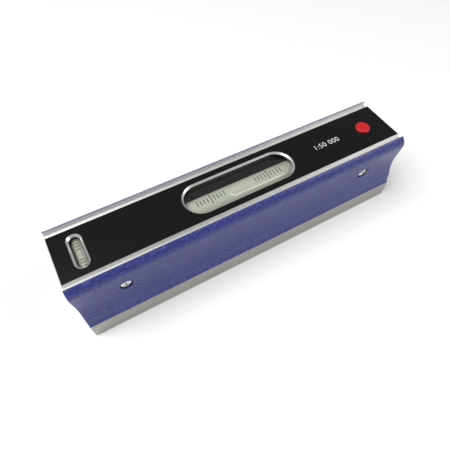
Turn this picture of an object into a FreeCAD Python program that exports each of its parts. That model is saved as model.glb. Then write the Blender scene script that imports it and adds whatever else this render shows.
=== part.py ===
"""Bar level, 200 mm long, for setting machines level to 0.02 mm per metre.

An iron casting with a ground base and a V-groove carries an aluminium cover, which holds two vials.
The main vial lies in a pivoted tube that a captive screw tilts, against a spring, to set its zero.

The origin is at the middle of the base. X runs along the level, from the cross vial towards the
adjuster, Y runs across it and Z points up. Every length is in millimetres and every angle in degrees.
"""

import FreeCAD
import Part
import Sketcher
import math
import os

SIZES = (
    # The iron body
    ("body_length", 200, "length of the body and of its cover"),
    ("base_width", 44, "width of the ground base band"),
    ("band_height", 12, "height of the ground base band"),
    ("band_edge", 0.5, "bevel along the bottom edges"),
    ("foot_width", 42, "width of the painted foot above the band"),
    ("foot_height", 13.8, "height at which the step above the band ends"),
    ("sill_width", 41, "width where the hollow flank begins"),
    ("sill_height", 18.5, "height where the hollow flank begins"),
    ("waist_width", 37.6, "narrowest width of the hollow flanks"),
    ("waist_share", 0.41, "height of the narrowest width between the sill and the lips, as a share"),
    ("lip_width", 40.9, "widest width of the two lips"),
    ("lip_drop", 2.7, "depth of the lips' widest line below the ledges"),
    ("lip_radius", 6, "rounding of the lips' outer side"),
    ("channel_width", 34.2, "width of the milled channel between the lips"),
    ("ledge_height", 45.6, "height of the ledges: the channel's floor, where the cover sits"),
    ("end_wall", 6, "thickness of the iron between the pocket and each end"),
    ("pocket_width", 24, "width of the pocket"),
    ("pocket_corner", 3, "radius of the pocket's upright corners"),
    ("pocket_depth", 25.6, "depth of the pocket's floor below the ledges"),
    ("groove_width", 22, "width of the V-groove in the base"),
    ("groove_angle", 140, "angle between the groove's two faces"),
    ("relief_width", 2, "width of the relief slot along the groove's root"),
    ("relief_depth", 1.2, "depth of the relief slot above the root"),
    # The side screws
    ("screw_inset", 25.3, "distance of the side screws from the body's ends"),
    ("screw_drop", 14.1, "depth of the side screws below the ledges"),
    ("screw_radius", 2, "radius of a side screw's thread"),
    ("screw_length", 12, "length of a side screw under its head"),
    ("screw_play", 0.3, "radial clearance round a side screw's shank"),
    ("head_radius", 3.1, "radius of a side screw's head"),
    ("head_height", 2.1, "height of a side screw's head"),
    ("head_crown", 0.6, "height of the domed part of the head"),
    ("head_play", 0.6, "radial clearance round a side screw's head"),
    ("seat_offset", 16.4, "distance of the screw heads' seats from the middle plane"),
    ("cross_span", 3.6, "span of the cross recess"),
    ("cross_blade", 0.9, "width of one blade of the cross recess"),
    ("cross_depth", 1.3, "depth of the cross recess"),
    # The cover
    ("cover_width", 28.3, "width of the cover"),
    ("cover_thickness", 1.8, "thickness of the cover's top"),
    ("cover_bevel", 0.35, "bevel on the cover's two ends"),
    ("cheek_gap", 19, "distance between the inner faces of the cheeks"),
    ("cheek_thickness", 2.2, "thickness of a cheek"),
    ("cheek_inset", 8.5, "distance of the cheeks' ends from the body's ends"),
    ("cheek_drop", 21.1, "depth of the cheeks' lower edge below the ledges"),
    ("main_opening_length", 66.5, "length of the long window, over its bevel"),
    ("main_opening_width", 20.3, "width of the long window, over its bevel"),
    ("main_rim", 0.95, "bevel round the long window"),
    ("cross_inset", 12.1, "distance of the cross vial from the body's end"),
    ("cross_opening_length", 20.5, "length of the short window, over its bevel"),
    ("cross_opening_width", 7.6, "width of the short window, over its bevel"),
    ("cross_rim", 1.05, "bevel round the short window"),
    ("main_pane_overlap", 3, "how far the long pane reaches past its window at each end"),
    ("cross_pane_overlap", 0.5, "how far the short pane reaches past its window on each side"),
    ("pane_thickness", 1.2, "thickness of the panes"),
    ("pane_play", 0.05, "clearance between a pane and each cheek"),
    # The blocks between the cheeks
    ("block_drop", 20.1, "depth of the blocks' lower face below the ledges"),
    ("rail_height", 11.6, "height of the rails on the blocks, up to the cover"),
    ("rail_thickness", 3.5, "thickness of the rails on the blocks"),
    ("block_inset", 7.5, "distance of the blocks' outer ends from the body's ends"),
    ("pivot_rail_inset", 21, "distance of the pivot rails' outer ends from the body's end"),
    ("pivot_block_clearance", 2, "gap between the pivot block and the end of the tube"),
    ("adjuster_block_margin", 6.7, "distance from a side screw to the adjuster block's inner end"),
    ("thread_play", 0.05, "clearance that stands for the threads of the fixed screws"),
    # The main vial and its tube
    ("vial_drop", 9.5, "depth of the main vial's axis below the ledges"),
    ("vial_radius", 7, "outer radius of the main vial"),
    ("vial_wall", 1.2, "wall of the main vial"),
    ("vial_length", 100, "length of the main vial's glass"),
    ("vial_disc", 2, "thickness of the discs that close the main vial"),
    ("bedding_thickness", 0.6, "thickness of the plaster round the main vial"),
    ("tube_wall", 0.7, "wall of the tube that carries the main vial"),
    ("plug_length", 6, "length of the plug in each end of the tube"),
    ("tube_window_margin", 5.75, "how far the tube is cut open past the long pane at each end"),
    ("tube_edge_drop", 2.1, "depth of the open tube's edges below the vial's axis"),
    ("bubble_length", 35.4, "length of the main bubble"),
    ("bubble_width", 7.3, "width of the main bubble"),
    ("bubble_depth", 1.25, "depth of the main bubble"),
    ("liquid_play", 0.03, "gap left between a liquid and its glass"),
    # The pivot
    ("pivot_gap", 8, "distance of the pivot pin from the end of the tube"),
    ("pivot_rise", 2.9, "height of the pivot pin and the tongues above the vial's axis"),
    ("pin_radius", 1.5, "radius of the pivot pin"),
    ("running_play", 0.05, "radial clearance of a running fit"),
    ("eye_radius", 3.4, "outer radius of the pivot eye"),
    ("tongue_width", 9.6, "width of the two tongues"),
    ("tongue_thickness", 3, "thickness of the two tongues"),
    ("tongue_overhang", 5, "length of the adjuster's tongue past the adjusting screw"),
    # The zero adjuster
    ("adjuster_inset", 16, "distance of the adjusting screw from the body's end"),
    ("adjuster_radius", 2, "radius of the adjusting screw's thread and journal"),
    ("collar_radius", 3.1, "radius of the adjusting screw's collar"),
    ("collar_height", 1.2, "height of the collar"),
    ("collar_play", 0.05, "clearance under the collar"),
    ("spring_seat_depth", 3, "depth of the spring's seat in the adjuster block"),
    ("spring_radius", 3.8, "radius of the spring, to the middle of its wire"),
    ("spring_wire", 0.8, "thickness of the spring's hexagonal wire, across its corners"),
    ("spring_turns", 3, "number of turns of the spring"),
    ("spring_play", 0.4, "radial clearance round the spring in its seat"),
    ("nut_radius", 3, "radius of the brass nut in the tongue"),
    ("nut_flange_radius", 4.3, "radius of the nut's flange"),
    ("nut_flange_thickness", 0.5, "thickness of the nut's flange, and its height above the tongue"),
    ("cap_head_radius", 2.7, "radius of the adjusting screw's head"),
    ("cap_head_height", 1.8, "height of the adjusting screw's head"),
    ("cap_head_clearance", 1.4, "gap between the nut and the adjusting screw's head"),
    ("socket_width", 2.5, "width across flats of the hexagon socket"),
    ("socket_depth", 1.4, "depth of the hexagon socket"),
    ("clip_radius", 3.6, "outer radius of the retaining ring"),
    ("clip_thickness", 0.6, "thickness of the retaining ring"),
    ("clip_play", 0.1, "clearance above and below the retaining ring"),
    ("clip_gap", 2.4, "mouth of the retaining ring"),
    ("neck_radius", 1.5, "radius of the groove that holds the retaining ring"),
    ("tip_length", 1, "length of the screw below its groove"),
    # The red cap
    ("cap_hole_radius", 3, "radius of the hole over the adjusting screw"),
    ("cap_radius", 4.3, "radius of the cap"),
    ("cap_height", 1.2, "height of the cap above the cover"),
    ("cap_edge", 0.5, "rounding of the cap's edge"),
    ("cap_stem", 2.4, "length of the cap's stem below the cover's top"),
    # The cross vial
    ("cross_vial_drop", 4.7, "depth of the cross vial's axis below the ledges"),
    ("cross_vial_radius", 3.1, "outer radius of the cross vial"),
    ("cross_vial_wall", 0.7, "wall of the cross vial"),
    ("cross_vial_length", 17.6, "length of the cross vial's glass"),
    ("cross_vial_disc", 0.6, "thickness of the discs that close the cross vial"),
    ("cross_bedding", 0.3, "thickness of the plaster under the cross vial"),
    ("holder_width", 8, "width of the cross vial's holder"),
    ("holder_play", 0.1, "clearance between the holder and each cheek"),
    ("holder_edge_drop", 0.5, "depth of the holder's upper edges below the cross vial's axis"),
    ("cross_bubble_length", 6, "length of the cross bubble"),
    ("cross_bubble_width", 3, "width of the cross bubble"),
    ("cross_bubble_depth", 0.5, "depth of the cross bubble"),
    ("holder_screw_offset", 5.5, "distance of the holder's screws from the middle plane"),
    ("holder_screw_radius", 1.25, "radius of the holder's screws"),
    ("holder_screw_length", 8.5, "length of the holder's screws under their heads"),
    ("holder_head_radius", 2.2, "radius of the holder's screw heads"),
    ("holder_head_height", 2, "height of the holder's screw heads"),
    ("holder_screw_play", 0.15, "clearance round the holder's screws and heads"),
)


class Size:
    """A number that remembers the sheet formula it comes from."""

    def __init__(self, value, formula=None):
        self.value = float(value)
        self.formula = formula or repr(float(value))

    @staticmethod
    def of(number):
        return number if isinstance(number, Size) else Size(number)

    def join(self, sign, other, value):
        return Size(value, f"({self.formula} {sign} {other.formula})")

    def __add__(self, other):
        other = Size.of(other)
        return self.join("+", other, self.value + other.value)

    def __sub__(self, other):
        other = Size.of(other)
        return self.join("-", other, self.value - other.value)

    def __rsub__(self, other):
        return Size.of(other) - self

    def __mul__(self, other):
        other = Size.of(other)
        return self.join("*", other, self.value * other.value)

    def __truediv__(self, other):
        other = Size.of(other)
        return self.join("/", other, self.value / other.value)

    def __neg__(self):
        return self * -1

    __radd__ = __add__
    __rmul__ = __mul__

    def tan(self):
        return Size(math.tan(math.radians(self.value)), f"tan({self.formula})")

    def cos(self):
        return Size(math.cos(math.radians(self.value)), f"cos({self.formula})")


class Sheet:
    """The spreadsheet of driving sizes; each size is read from it as an attribute."""

    def __init__(self, doc):
        sheet = doc.addObject("Spreadsheet::Sheet", "Sizes")
        for row, (alias, value, meaning) in enumerate(SIZES, start=1):
            sheet.set(f"A{row}", alias)
            sheet.set(f"B{row}", str(value))
            sheet.set(f"C{row}", meaning)
            sheet.setAlias(f"B{row}", alias)
            setattr(self, alias, Size(value, f"Sizes.{alias}"))


def work_out(s):
    """The heights and distances that follow from the driving sizes."""
    end = s.body_length / 2
    s.lip_height = s.ledge_height - s.lip_drop
    s.waist_height = s.sill_height + (s.lip_height - s.sill_height) * s.waist_share
    s.pocket_floor = s.ledge_height - s.pocket_depth
    s.screw_height = s.ledge_height - s.screw_drop
    s.cheek_bottom = s.ledge_height - s.cheek_drop
    s.block_bottom = s.ledge_height - s.block_drop
    s.block_top = s.ledge_height - s.rail_height
    s.vial_height = s.ledge_height - s.vial_drop
    s.tube_edge = s.vial_height - s.tube_edge_drop
    s.pivot_height = s.vial_height + s.pivot_rise
    s.cross_vial_height = s.ledge_height - s.cross_vial_drop
    s.holder_top = s.cross_vial_height - s.holder_edge_drop

    s.main_pane_length = s.main_opening_length + s.main_pane_overlap * 2
    s.tube_length = s.vial_length + (s.vial_disc + s.plug_length) * 2
    s.tube_window = s.main_pane_length + s.tube_window_margin * 2
    s.pivot_offset = s.tube_length / 2 + s.pivot_gap
    s.pocket_length = s.body_length - s.end_wall * 2
    s.cheek_length = s.body_length - s.cheek_inset * 2
    s.screw_offset = end - s.screw_inset
    s.cross_offset = end - s.cross_inset
    s.adjuster_offset = end - s.adjuster_inset
    s.tongue_reach = s.adjuster_offset + s.tongue_overhang
    s.block_reach = end - s.block_inset
    s.pivot_rail_reach = end - s.pivot_rail_inset
    s.pivot_block_end = s.tube_length / 2 + s.pivot_block_clearance
    s.adjuster_block_end = s.screw_offset - s.adjuster_block_margin


# ---------------------------------------------------------------- helpers

def bind(thing, name, size):
    """Give a property its value and tie it to the sheet."""
    size = Size.of(size)
    head, _, _ = name.partition(".")
    if head == name:
        setattr(thing, name, size.value)
    thing.setExpression(name, size.formula)


def place(thing, x=0, y=0, z=0, turn=None):
    """Put an object at a point bound to the sheet, turned by an optional (axis, angle)."""
    x, y, z = Size.of(x), Size.of(y), Size.of(z)
    rotation = FreeCAD.Rotation(*turn) if turn else FreeCAD.Rotation()
    thing.Placement = FreeCAD.Placement(FreeCAD.Vector(x.value, y.value, z.value), rotation)
    for axis, size in zip("xyz", (x, y, z)):
        thing.setExpression(f"Placement.Base.{axis}", size.formula)


ALONG_X = (FreeCAD.Vector(0, 1, 0), 90)
ALONG_Y = (FreeCAD.Vector(1, 0, 0), -90)


def new_body(doc, label):
    body = doc.addObject("PartDesign::Body", label)
    body.Label = label
    return body


def origin_feature(body, role):
    return next(item for item in body.Origin.OriginFeatures if item.Role == role)


def new_sketch(body, plane, offset=0):
    """A sketch on one of the body's origin planes, moved along the plane's normal."""
    sketch = body.newObject("Sketcher::SketchObject", "Sketch")
    sketch.AttachmentSupport = [(origin_feature(body, plane), "")]
    sketch.MapMode = "FlatFace"
    offset = Size.of(offset)
    sketch.AttachmentOffset = FreeCAD.Placement(FreeCAD.Vector(0, 0, offset.value), FreeCAD.Rotation())
    sketch.setExpression("AttachmentOffset.Base.z", offset.formula)
    return sketch


def hold(sketch, kind, *where):
    """Add a dimension; the last item is its size."""
    size = Size.of(where[-1])
    number = sketch.addConstraint(Sketcher.Constraint(kind, *where[:-1], size.value))
    sketch.setExpression(f"Constraints[{number}]", size.formula)


def hold_point(sketch, geometry, end, point):
    """Tie one end (1 start, 2 end, 3 centre) of a curve to a point of the sheet."""
    hold(sketch, "DistanceX", -1, 1, geometry, end, point[0])
    hold(sketch, "DistanceY", -1, 1, geometry, end, point[1])


def vector(point):
    return FreeCAD.Vector(Size.of(point[0]).value, Size.of(point[1]).value, 0)


def polygon(sketch, corners):
    """A closed outline of straight edges through the corners."""
    corners = list(corners)
    edges = [sketch.addGeometry(Part.LineSegment(vector(start), vector(end)))
             for start, end in zip(corners, corners[1:] + corners[:1])]
    for number, edge in enumerate(edges):
        following = edges[(number + 1) % len(edges)]
        sketch.addConstraint(Sketcher.Constraint("Coincident", edge, 2, following, 1))
        hold_point(sketch, edge, 1, corners[number])


def rectangle(sketch, low, high):
    polygon(sketch, (low, (high[0], low[1]), high, (low[0], high[1])))


def circle(sketch, radius, x=0, y=0):
    radius = Size.of(radius)
    ring = sketch.addGeometry(Part.Circle(vector((x, y)), FreeCAD.Vector(0, 0, 1), radius.value))
    hold_point(sketch, ring, 3, (x, y))
    hold(sketch, "Radius", ring, radius)


def belt(sketch, centres, radius):
    """The outline of a belt round equal pulleys, with their centres given anticlockwise."""
    radius = Size.of(radius)
    count = len(centres)
    points = [vector(centre) for centre in centres]
    headings = []
    for number, point in enumerate(points):
        run = points[(number + 1) % count] - point
        headings.append(math.atan2(run.y, run.x))
    arcs = []
    for number, point in enumerate(points):
        start = headings[number - 1] - math.pi / 2
        end = headings[number] - math.pi / 2
        ring = Part.Circle(point, FreeCAD.Vector(0, 0, 1), radius.value)
        arcs.append(sketch.addGeometry(Part.ArcOfCircle(ring, start, end)))
        hold_point(sketch, arcs[number], 3, centres[number])
    hold(sketch, "Radius", arcs[0], radius)
    for number, arc in enumerate(arcs):
        following = arcs[(number + 1) % count]
        start, end = sketch.getPoint(arc, 2), sketch.getPoint(following, 1)
        line = sketch.addGeometry(Part.LineSegment(start, end))
        sketch.addConstraint(Sketcher.Constraint("Tangent", arc, 2, line, 1))
        sketch.addConstraint(Sketcher.Constraint("Tangent", line, 2, following, 1))
        if number:
            sketch.addConstraint(Sketcher.Constraint("Equal", arcs[0], arc))


def stadium(sketch, length, width, x=0, along_y=False):
    """A slot with round ends, centred on the X axis."""
    straight = (length - width) / 2
    if along_y:
        centres = ((x, straight), (x, -straight))
    else:
        centres = ((x - straight, 0), (x + straight, 0))
    belt(sketch, centres, width / 2)


def pad(body, sketch, length, both_ways=False, reverse=False):
    feature = body.newObject("PartDesign::Pad", "Pad")
    feature.Profile = sketch
    feature.SideType = "Symmetric" if both_ways else "One side"
    feature.Reversed = reverse
    bind(feature, "Length", length)
    return feature


def pocket(body, sketch, length, both_ways=False, reverse=False):
    """Cut a sketch out of the body, and make sure that it does cut."""
    body.Document.recompute()
    before = body.Shape.Volume
    feature = body.newObject("PartDesign::Pocket", "Pocket")
    feature.Profile = sketch
    feature.SideType = "Symmetric" if both_ways else "One side"
    feature.Reversed = reverse
    bind(feature, "Length", length)
    body.Document.recompute()
    if body.Shape.Volume >= before:
        raise RuntimeError(f"a pocket of {body.Label} cuts nothing")
    return feature


def mirrored(body, features, plane):
    feature = body.newObject("PartDesign::Mirrored", "Mirrored")
    feature.Originals = features
    feature.MirrorPlane = (origin_feature(body, plane), [""])
    body.Tip = feature
    return feature


def revolved(body, sketch, axis):
    feature = body.newObject("PartDesign::Revolution", "Revolution")
    feature.Profile = sketch
    feature.ReferenceAxis = (origin_feature(body, axis), [""])
    feature.Angle = 360
    return feature


def edges_where(feature, test):
    """Names of the feature's edges whose every vertex passes the test."""
    return [f"Edge{number}" for number, edge in enumerate(feature.Shape.Edges, start=1)
            if all(test(vertex.Point) for vertex in edge.Vertexes)]


def chamfer(body, base, test, size):
    """Bevel the edges of the base feature that lie where the test says."""
    body.Document.recompute()
    feature = body.newObject("PartDesign::Chamfer", "Chamfer")
    feature.Base = (base, edges_where(base, test))
    bind(feature, "Size", size)
    return feature


def cylinder(doc, name, radius, height, x=0, y=0, z=0, turn=None):
    rod = doc.addObject("Part::Cylinder", name)
    bind(rod, "Radius", radius)
    bind(rod, "Height", height)
    place(rod, x, y, z, turn)
    return rod


def cut(doc, label, base, tool):
    result = doc.addObject("Part::Cut", label)
    result.Base = base
    result.Tool = tool
    result.Label = label
    return result


def together(doc, label, pieces):
    """Several separate solids kept as one node."""
    group = doc.addObject("Part::Compound", label)
    group.Links = pieces
    group.Label = label
    return group


def mirror_copy(doc, source, normal):
    copy = doc.addObject("Part::Mirroring", "Mirror")
    copy.Source = source
    copy.Normal = normal
    return copy


# ---------------------------------------------------------------- the iron body

def level_body(doc, s):
    """The casting: hollow flanks between a broad foot and two lips, with a channel along the top."""
    body = new_body(doc, "level_body")
    half = pad(body, flank_section(body, s), s.body_length, both_ways=True)
    mirrored(body, [half], "XZ_Plane")

    pocket_sketch = new_sketch(body, "XY_Plane", s.ledge_height)
    long_way = s.pocket_length / 2 - s.pocket_corner
    across = s.pocket_width / 2 - s.pocket_corner
    corners = ((-long_way, -across), (long_way, -across), (long_way, across), (-long_way, across))
    belt(pocket_sketch, corners, s.pocket_corner)
    pocket(body, pocket_sketch, s.ledge_height - s.pocket_floor)

    groove = new_sketch(body, "YZ_Plane")
    slope = (s.groove_angle / 2).tan()
    root = s.groove_width / 2 / slope
    shoulder = (s.groove_width - s.relief_width) / 2 / slope
    half_relief = s.relief_width / 2
    right = ((half_relief, root + s.relief_depth), (half_relief, shoulder), (s.groove_width / 2, 0))
    left = [(-y, z) for y, z in reversed(right)]
    polygon(groove, left + list(right))
    pocket(body, groove, s.body_length, both_ways=True)

    holes = new_sketch(body, "XZ_Plane")
    for x in (-s.screw_offset, s.screw_offset):
        circle(holes, s.screw_radius + s.screw_play, x, s.screw_height)
    pocket(body, holes, s.base_width, both_ways=True)

    seats = new_sketch(body, "XZ_Plane", s.seat_offset)
    for x in (-s.screw_offset, s.screw_offset):
        circle(seats, s.head_radius + s.head_play, x, s.screw_height)
    seat = pocket(body, seats, s.base_width / 2, reverse=True)
    mirrored(body, [seat], "XZ_Plane")
    return body


def flank_section(body, s):
    """Half of the casting's section, from the middle plane out to one flank and lip."""
    sketch = new_sketch(body, "YZ_Plane")
    base = s.base_width / 2
    sill = (s.sill_width / 2, s.sill_height)
    waist = s.waist_width / 2
    rise = s.waist_height - s.sill_height
    flare = sill[0] - waist
    hollow_radius = (rise * rise + flare * flare) / (flare * 2)
    hollow_centre = (waist + hollow_radius, s.waist_height)
    lip_centre = (s.lip_width / 2 - s.lip_radius, s.lip_height)
    lip_inside = s.channel_width / 2

    corners = [(0, 0), (base - s.band_edge, 0), (base, s.band_edge), (base, s.band_height),
               (s.foot_width / 2, s.foot_height), sill]
    edges = [sketch.addGeometry(Part.LineSegment(vector(start), vector(end)))
             for start, end in zip(corners, corners[1:])]
    for number, edge in enumerate(edges):
        hold_point(sketch, edge, 1, corners[number])
    for edge, following in zip(edges, edges[1:]):
        sketch.addConstraint(Sketcher.Constraint("Coincident", edge, 2, following, 1))

    # The arcs are drawn with roughly this lean, and the tangent constraints then set the true one.
    lean = math.radians(8)
    up = FreeCAD.Vector(0, 0, 1)
    hollow_circle = Part.Circle(vector(hollow_centre), up, hollow_radius.value)
    sill_angle = math.pi + math.asin(rise.value / hollow_radius.value)
    hollow = sketch.addGeometry(Part.ArcOfCircle(hollow_circle, math.pi - lean, sill_angle))
    lip_circle = Part.Circle(vector(lip_centre), up, s.lip_radius.value)
    lip_angle = math.acos((lip_inside - lip_centre[0]).value / s.lip_radius.value)
    lip = sketch.addGeometry(Part.ArcOfCircle(lip_circle, -lean, lip_angle))
    flank = sketch.addGeometry(Part.LineSegment(sketch.getPoint(hollow, 1), sketch.getPoint(lip, 1)))
    top = sketch.getPoint(lip, 2)
    wall = sketch.addGeometry(Part.LineSegment(top, vector((lip_inside, s.ledge_height))))
    floor = sketch.addGeometry(Part.LineSegment(vector((lip_inside, s.ledge_height)),
                                                vector((0, s.ledge_height))))
    middle = sketch.addGeometry(Part.LineSegment(vector((0, s.ledge_height)), vector((0, 0))))

    sketch.addConstraint(Sketcher.Constraint("Coincident", edges[-1], 2, hollow, 2))
    hold_point(sketch, edges[-1], 2, sill)
    hold_point(sketch, hollow, 3, hollow_centre)
    sketch.addConstraint(Sketcher.Constraint("Tangent", hollow, 1, flank, 1))
    sketch.addConstraint(Sketcher.Constraint("Tangent", flank, 2, lip, 1))
    hold_point(sketch, lip, 3, lip_centre)
    hold(sketch, "Radius", lip, s.lip_radius)
    sketch.addConstraint(Sketcher.Constraint("Coincident", lip, 2, wall, 1))
    hold(sketch, "DistanceX", -1, 1, wall, 1, lip_inside)
    sketch.addConstraint(Sketcher.Constraint("Coincident", wall, 2, floor, 1))
    hold_point(sketch, floor, 1, (lip_inside, s.ledge_height))
    sketch.addConstraint(Sketcher.Constraint("Coincident", floor, 2, middle, 1))
    hold_point(sketch, middle, 1, (0, s.ledge_height))
    sketch.addConstraint(Sketcher.Constraint("Coincident", middle, 2, edges[0], 1))
    return sketch


def side_screws(doc, s):
    """Four cross-head screws that clamp the cover's cheeks to the casting."""
    screw = new_body(doc, "side_screw")
    profile = new_sketch(screw, "XZ_Plane")
    shoulder = s.head_height - s.head_crown
    corners = ((0, -s.screw_length), (s.screw_radius, -s.screw_length), (s.screw_radius, 0),
               (s.head_radius, 0), (s.head_radius, shoulder), (s.head_radius - s.head_crown, s.head_height),
               (0, s.head_height))
    polygon(profile, corners)
    revolved(screw, profile, "Z_Axis")

    span, blade = s.cross_span / 2, s.cross_blade / 2
    cross = new_sketch(screw, "XY_Plane", s.head_height)
    quarter = ((span, -blade), (span, blade), (blade, blade))
    corners = [turned(point, turns) for turns in range(4) for point in quarter]
    polygon(cross, corners)
    pocket(screw, cross, s.cross_depth)
    place(screw, s.screw_offset, -s.seat_offset, s.screw_height, (FreeCAD.Vector(1, 0, 0), 90))

    right = [screw, mirror_copy(doc, screw, FreeCAD.Vector(0, 1, 0))]
    left = [mirror_copy(doc, one, FreeCAD.Vector(1, 0, 0)) for one in right]
    return together(doc, "side_screws", right + left)


def turned(point, turns):
    """A point turned by quarter turns about the origin."""
    x, y = point
    for _ in range(turns):
        x, y = -y, x
    return x, y


# ---------------------------------------------------------------- the cover

def cover_top(s):
    return s.ledge_height + s.cover_thickness


def top_cover(doc, s):
    """The cover: a flat top on the channel's floor, with a cheek on each side of the mechanism."""
    body = new_body(doc, "top_cover")
    top = new_sketch(body, "YZ_Plane")
    rectangle(top, (-s.cover_width / 2, s.ledge_height), (s.cover_width / 2, cover_top(s)))
    plate = pad(body, top, s.body_length, both_ways=True)
    at_end = s.body_length.value / 2
    upper = cover_top(s).value
    chamfer(body, plate, lambda p: on(abs(p.x), at_end) and on(p.z, upper), s.cover_bevel)

    cheeks = new_sketch(body, "YZ_Plane")
    inner = s.cheek_gap / 2
    outer = inner + s.cheek_thickness
    rectangle(cheeks, (inner, s.cheek_bottom), (outer, s.ledge_height))
    rectangle(cheeks, (-outer, s.cheek_bottom), (-inner, s.ledge_height))
    pad(body, cheeks, s.cheek_length, both_ways=True)

    windows = new_sketch(body, "XY_Plane", cover_top(s))
    stadium(windows, s.main_opening_length - s.main_rim * 2, s.main_opening_width - s.main_rim * 2)
    stadium(windows, s.cross_opening_length - s.cross_rim * 2, s.cross_opening_width - s.cross_rim * 2,
            x=-s.cross_offset, along_y=True)
    circle(windows, s.cap_hole_radius, s.adjuster_offset)
    cut_windows = pocket(body, windows, s.cover_thickness)
    long_end = s.main_opening_length.value / 2
    wide_end = s.main_opening_width.value / 2
    main_edge = chamfer(body, cut_windows, lambda p: on(p.z, upper) and abs(p.x) < long_end
                        and abs(p.y) < wide_end, s.main_rim)
    middle = -s.cross_offset.value
    reach = s.cross_opening_width.value / 2
    chamfer(body, main_edge, lambda p: on(p.z, upper) and abs(p.x - middle) < reach
            and abs(p.y) < s.cover_width.value / 2 - reach / 2, s.cross_rim)

    holes = new_sketch(body, "XZ_Plane")
    for x in (-s.screw_offset, s.screw_offset):
        circle(holes, s.screw_radius + s.screw_play, x, s.screw_height)
    pocket(body, holes, s.base_width, both_ways=True)
    return body


def on(number, line):
    return abs(number - line) < 1e-6


def window_pane(doc, s, label, length, x):
    """A clear pane held against the cover's underside, between the cheeks."""
    pane = doc.addObject("Part::Box", label)
    pane.Label = label
    width = s.cheek_gap - s.pane_play * 2
    bind(pane, "Length", length)
    bind(pane, "Width", width)
    bind(pane, "Height", s.pane_thickness)
    place(pane, x - length / 2, -width / 2, s.ledge_height - s.pane_thickness)
    return pane


def adjuster_cap(doc, s):
    """The red plug that closes the hole over the adjusting screw."""
    body = new_body(doc, "adjuster_cap")
    stem = s.cap_hole_radius - s.running_play
    profile = new_sketch(body, "XZ_Plane")
    corners = ((0, -s.cap_stem), (stem, -s.cap_stem), (stem, 0), (s.cap_radius, 0),
               (s.cap_radius, s.cap_height - s.cap_edge), (s.cap_radius - s.cap_edge, s.cap_height),
               (0, s.cap_height))
    polygon(profile, corners)
    revolved(body, profile, "Z_Axis")
    place(body, s.adjuster_offset, 0, cover_top(s))
    return body


# ---------------------------------------------------------------- the blocks

def block(doc, s, label, near, far, rail_near, rail_far):
    """A block that fills the gap between the cheeks, with two rails up to the cover's underside."""
    body = new_body(doc, label)
    width = s.cheek_gap
    base = new_sketch(body, "XZ_Plane")
    rectangle(base, (near, s.block_bottom), (far, s.block_top))
    pad(body, base, width, both_ways=True)
    rails = new_sketch(body, "XZ_Plane")
    rectangle(rails, (rail_near, s.block_top), (rail_far, s.ledge_height))
    pad(body, rails, width, both_ways=True)
    slot = new_sketch(body, "YZ_Plane")
    inside = width / 2 - s.rail_thickness
    rectangle(slot, (-inside, s.block_top), (inside, s.ledge_height))
    pocket(body, slot, s.body_length, both_ways=True)
    return body


def tap_for_side_screws(body, s, x):
    """A tapped hole across a block, for the screw from each side."""
    hole = new_sketch(body, "XZ_Plane")
    circle(hole, s.screw_radius + s.thread_play, x, s.screw_height)
    pocket(body, hole, s.cheek_gap, both_ways=True)


def pivot_block(doc, s):
    """The block at the cross vial's end: it carries the pivot pin and the cross vial's holder."""
    body = block(doc, s, "pivot_block", -s.block_reach, -s.pivot_block_end,
                 -s.pivot_rail_reach, -s.pivot_block_end)
    bore = new_sketch(body, "XZ_Plane")
    circle(bore, s.pin_radius, -s.pivot_offset, s.pivot_height)
    pocket(body, bore, s.cheek_gap, both_ways=True)
    tap_for_side_screws(body, s, -s.screw_offset)

    shafts = new_sketch(body, "XY_Plane", s.block_bottom)
    heads = new_sketch(body, "XY_Plane", s.block_bottom)
    for y in (-s.holder_screw_offset, s.holder_screw_offset):
        circle(shafts, s.holder_screw_radius + s.holder_screw_play, -s.cross_offset, y)
        circle(heads, s.holder_head_radius + s.holder_screw_play, -s.cross_offset, y)
    pocket(body, shafts, s.block_top - s.block_bottom, reverse=True)
    pocket(body, heads, s.holder_head_height, reverse=True)
    return body


def adjuster_block(doc, s):
    """The block at the other end: it holds the captive adjusting screw and seats the spring."""
    body = block(doc, s, "adjuster_block", s.adjuster_block_end, s.block_reach,
                 s.adjuster_block_end, s.block_reach)
    tap_for_side_screws(body, s, s.screw_offset)
    journal = new_sketch(body, "XY_Plane", s.block_top)
    circle(journal, s.adjuster_radius + s.running_play, s.adjuster_offset)
    pocket(body, journal, s.block_top - s.block_bottom)
    seat = new_sketch(body, "XY_Plane", s.block_top)
    circle(seat, s.spring_radius + s.spring_wire / 2 + s.spring_play, s.adjuster_offset)
    pocket(body, seat, s.spring_seat_depth)
    return body


def pivot_pin(doc, s):
    """The pin that the main vial's tube tilts on, trapped between the cheeks."""
    pin = cylinder(doc, "pivot_pin", s.pin_radius, s.cheek_gap,
                   -s.pivot_offset, -s.cheek_gap / 2, s.pivot_height, ALONG_Y)
    pin.Label = "pivot_pin"
    return pin


# ---------------------------------------------------------------- the main vial

def open_tube(doc, s, label, outer, inner, length):
    """A tube along the vial's axis, cut open over the window so that the vial shows."""
    body = new_body(doc, label)
    ring = new_sketch(body, "YZ_Plane")
    circle(ring, outer, 0, s.vial_height)
    circle(ring, inner, 0, s.vial_height)
    pad(body, ring, length, both_ways=True)
    window = new_sketch(body, "XZ_Plane")
    half = s.tube_window / 2
    rectangle(window, (-half, s.tube_edge), (half, s.vial_height + outer * 2))
    pocket(body, window, outer * 4, both_ways=True)
    return body


def bedding_radius(s):
    return s.vial_radius + s.bedding_thickness


def vial_tube(doc, s):
    bore = bedding_radius(s)
    return open_tube(doc, s, "vial_tube", bore + s.tube_wall, bore, s.tube_length)


def vial_bedding(doc, s):
    """White plaster that fixes the glass in its tube and shows pale through it."""
    return open_tube(doc, s, "vial_bedding", bedding_radius(s), s.vial_radius,
                     s.vial_length + s.vial_disc * 2)


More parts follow.
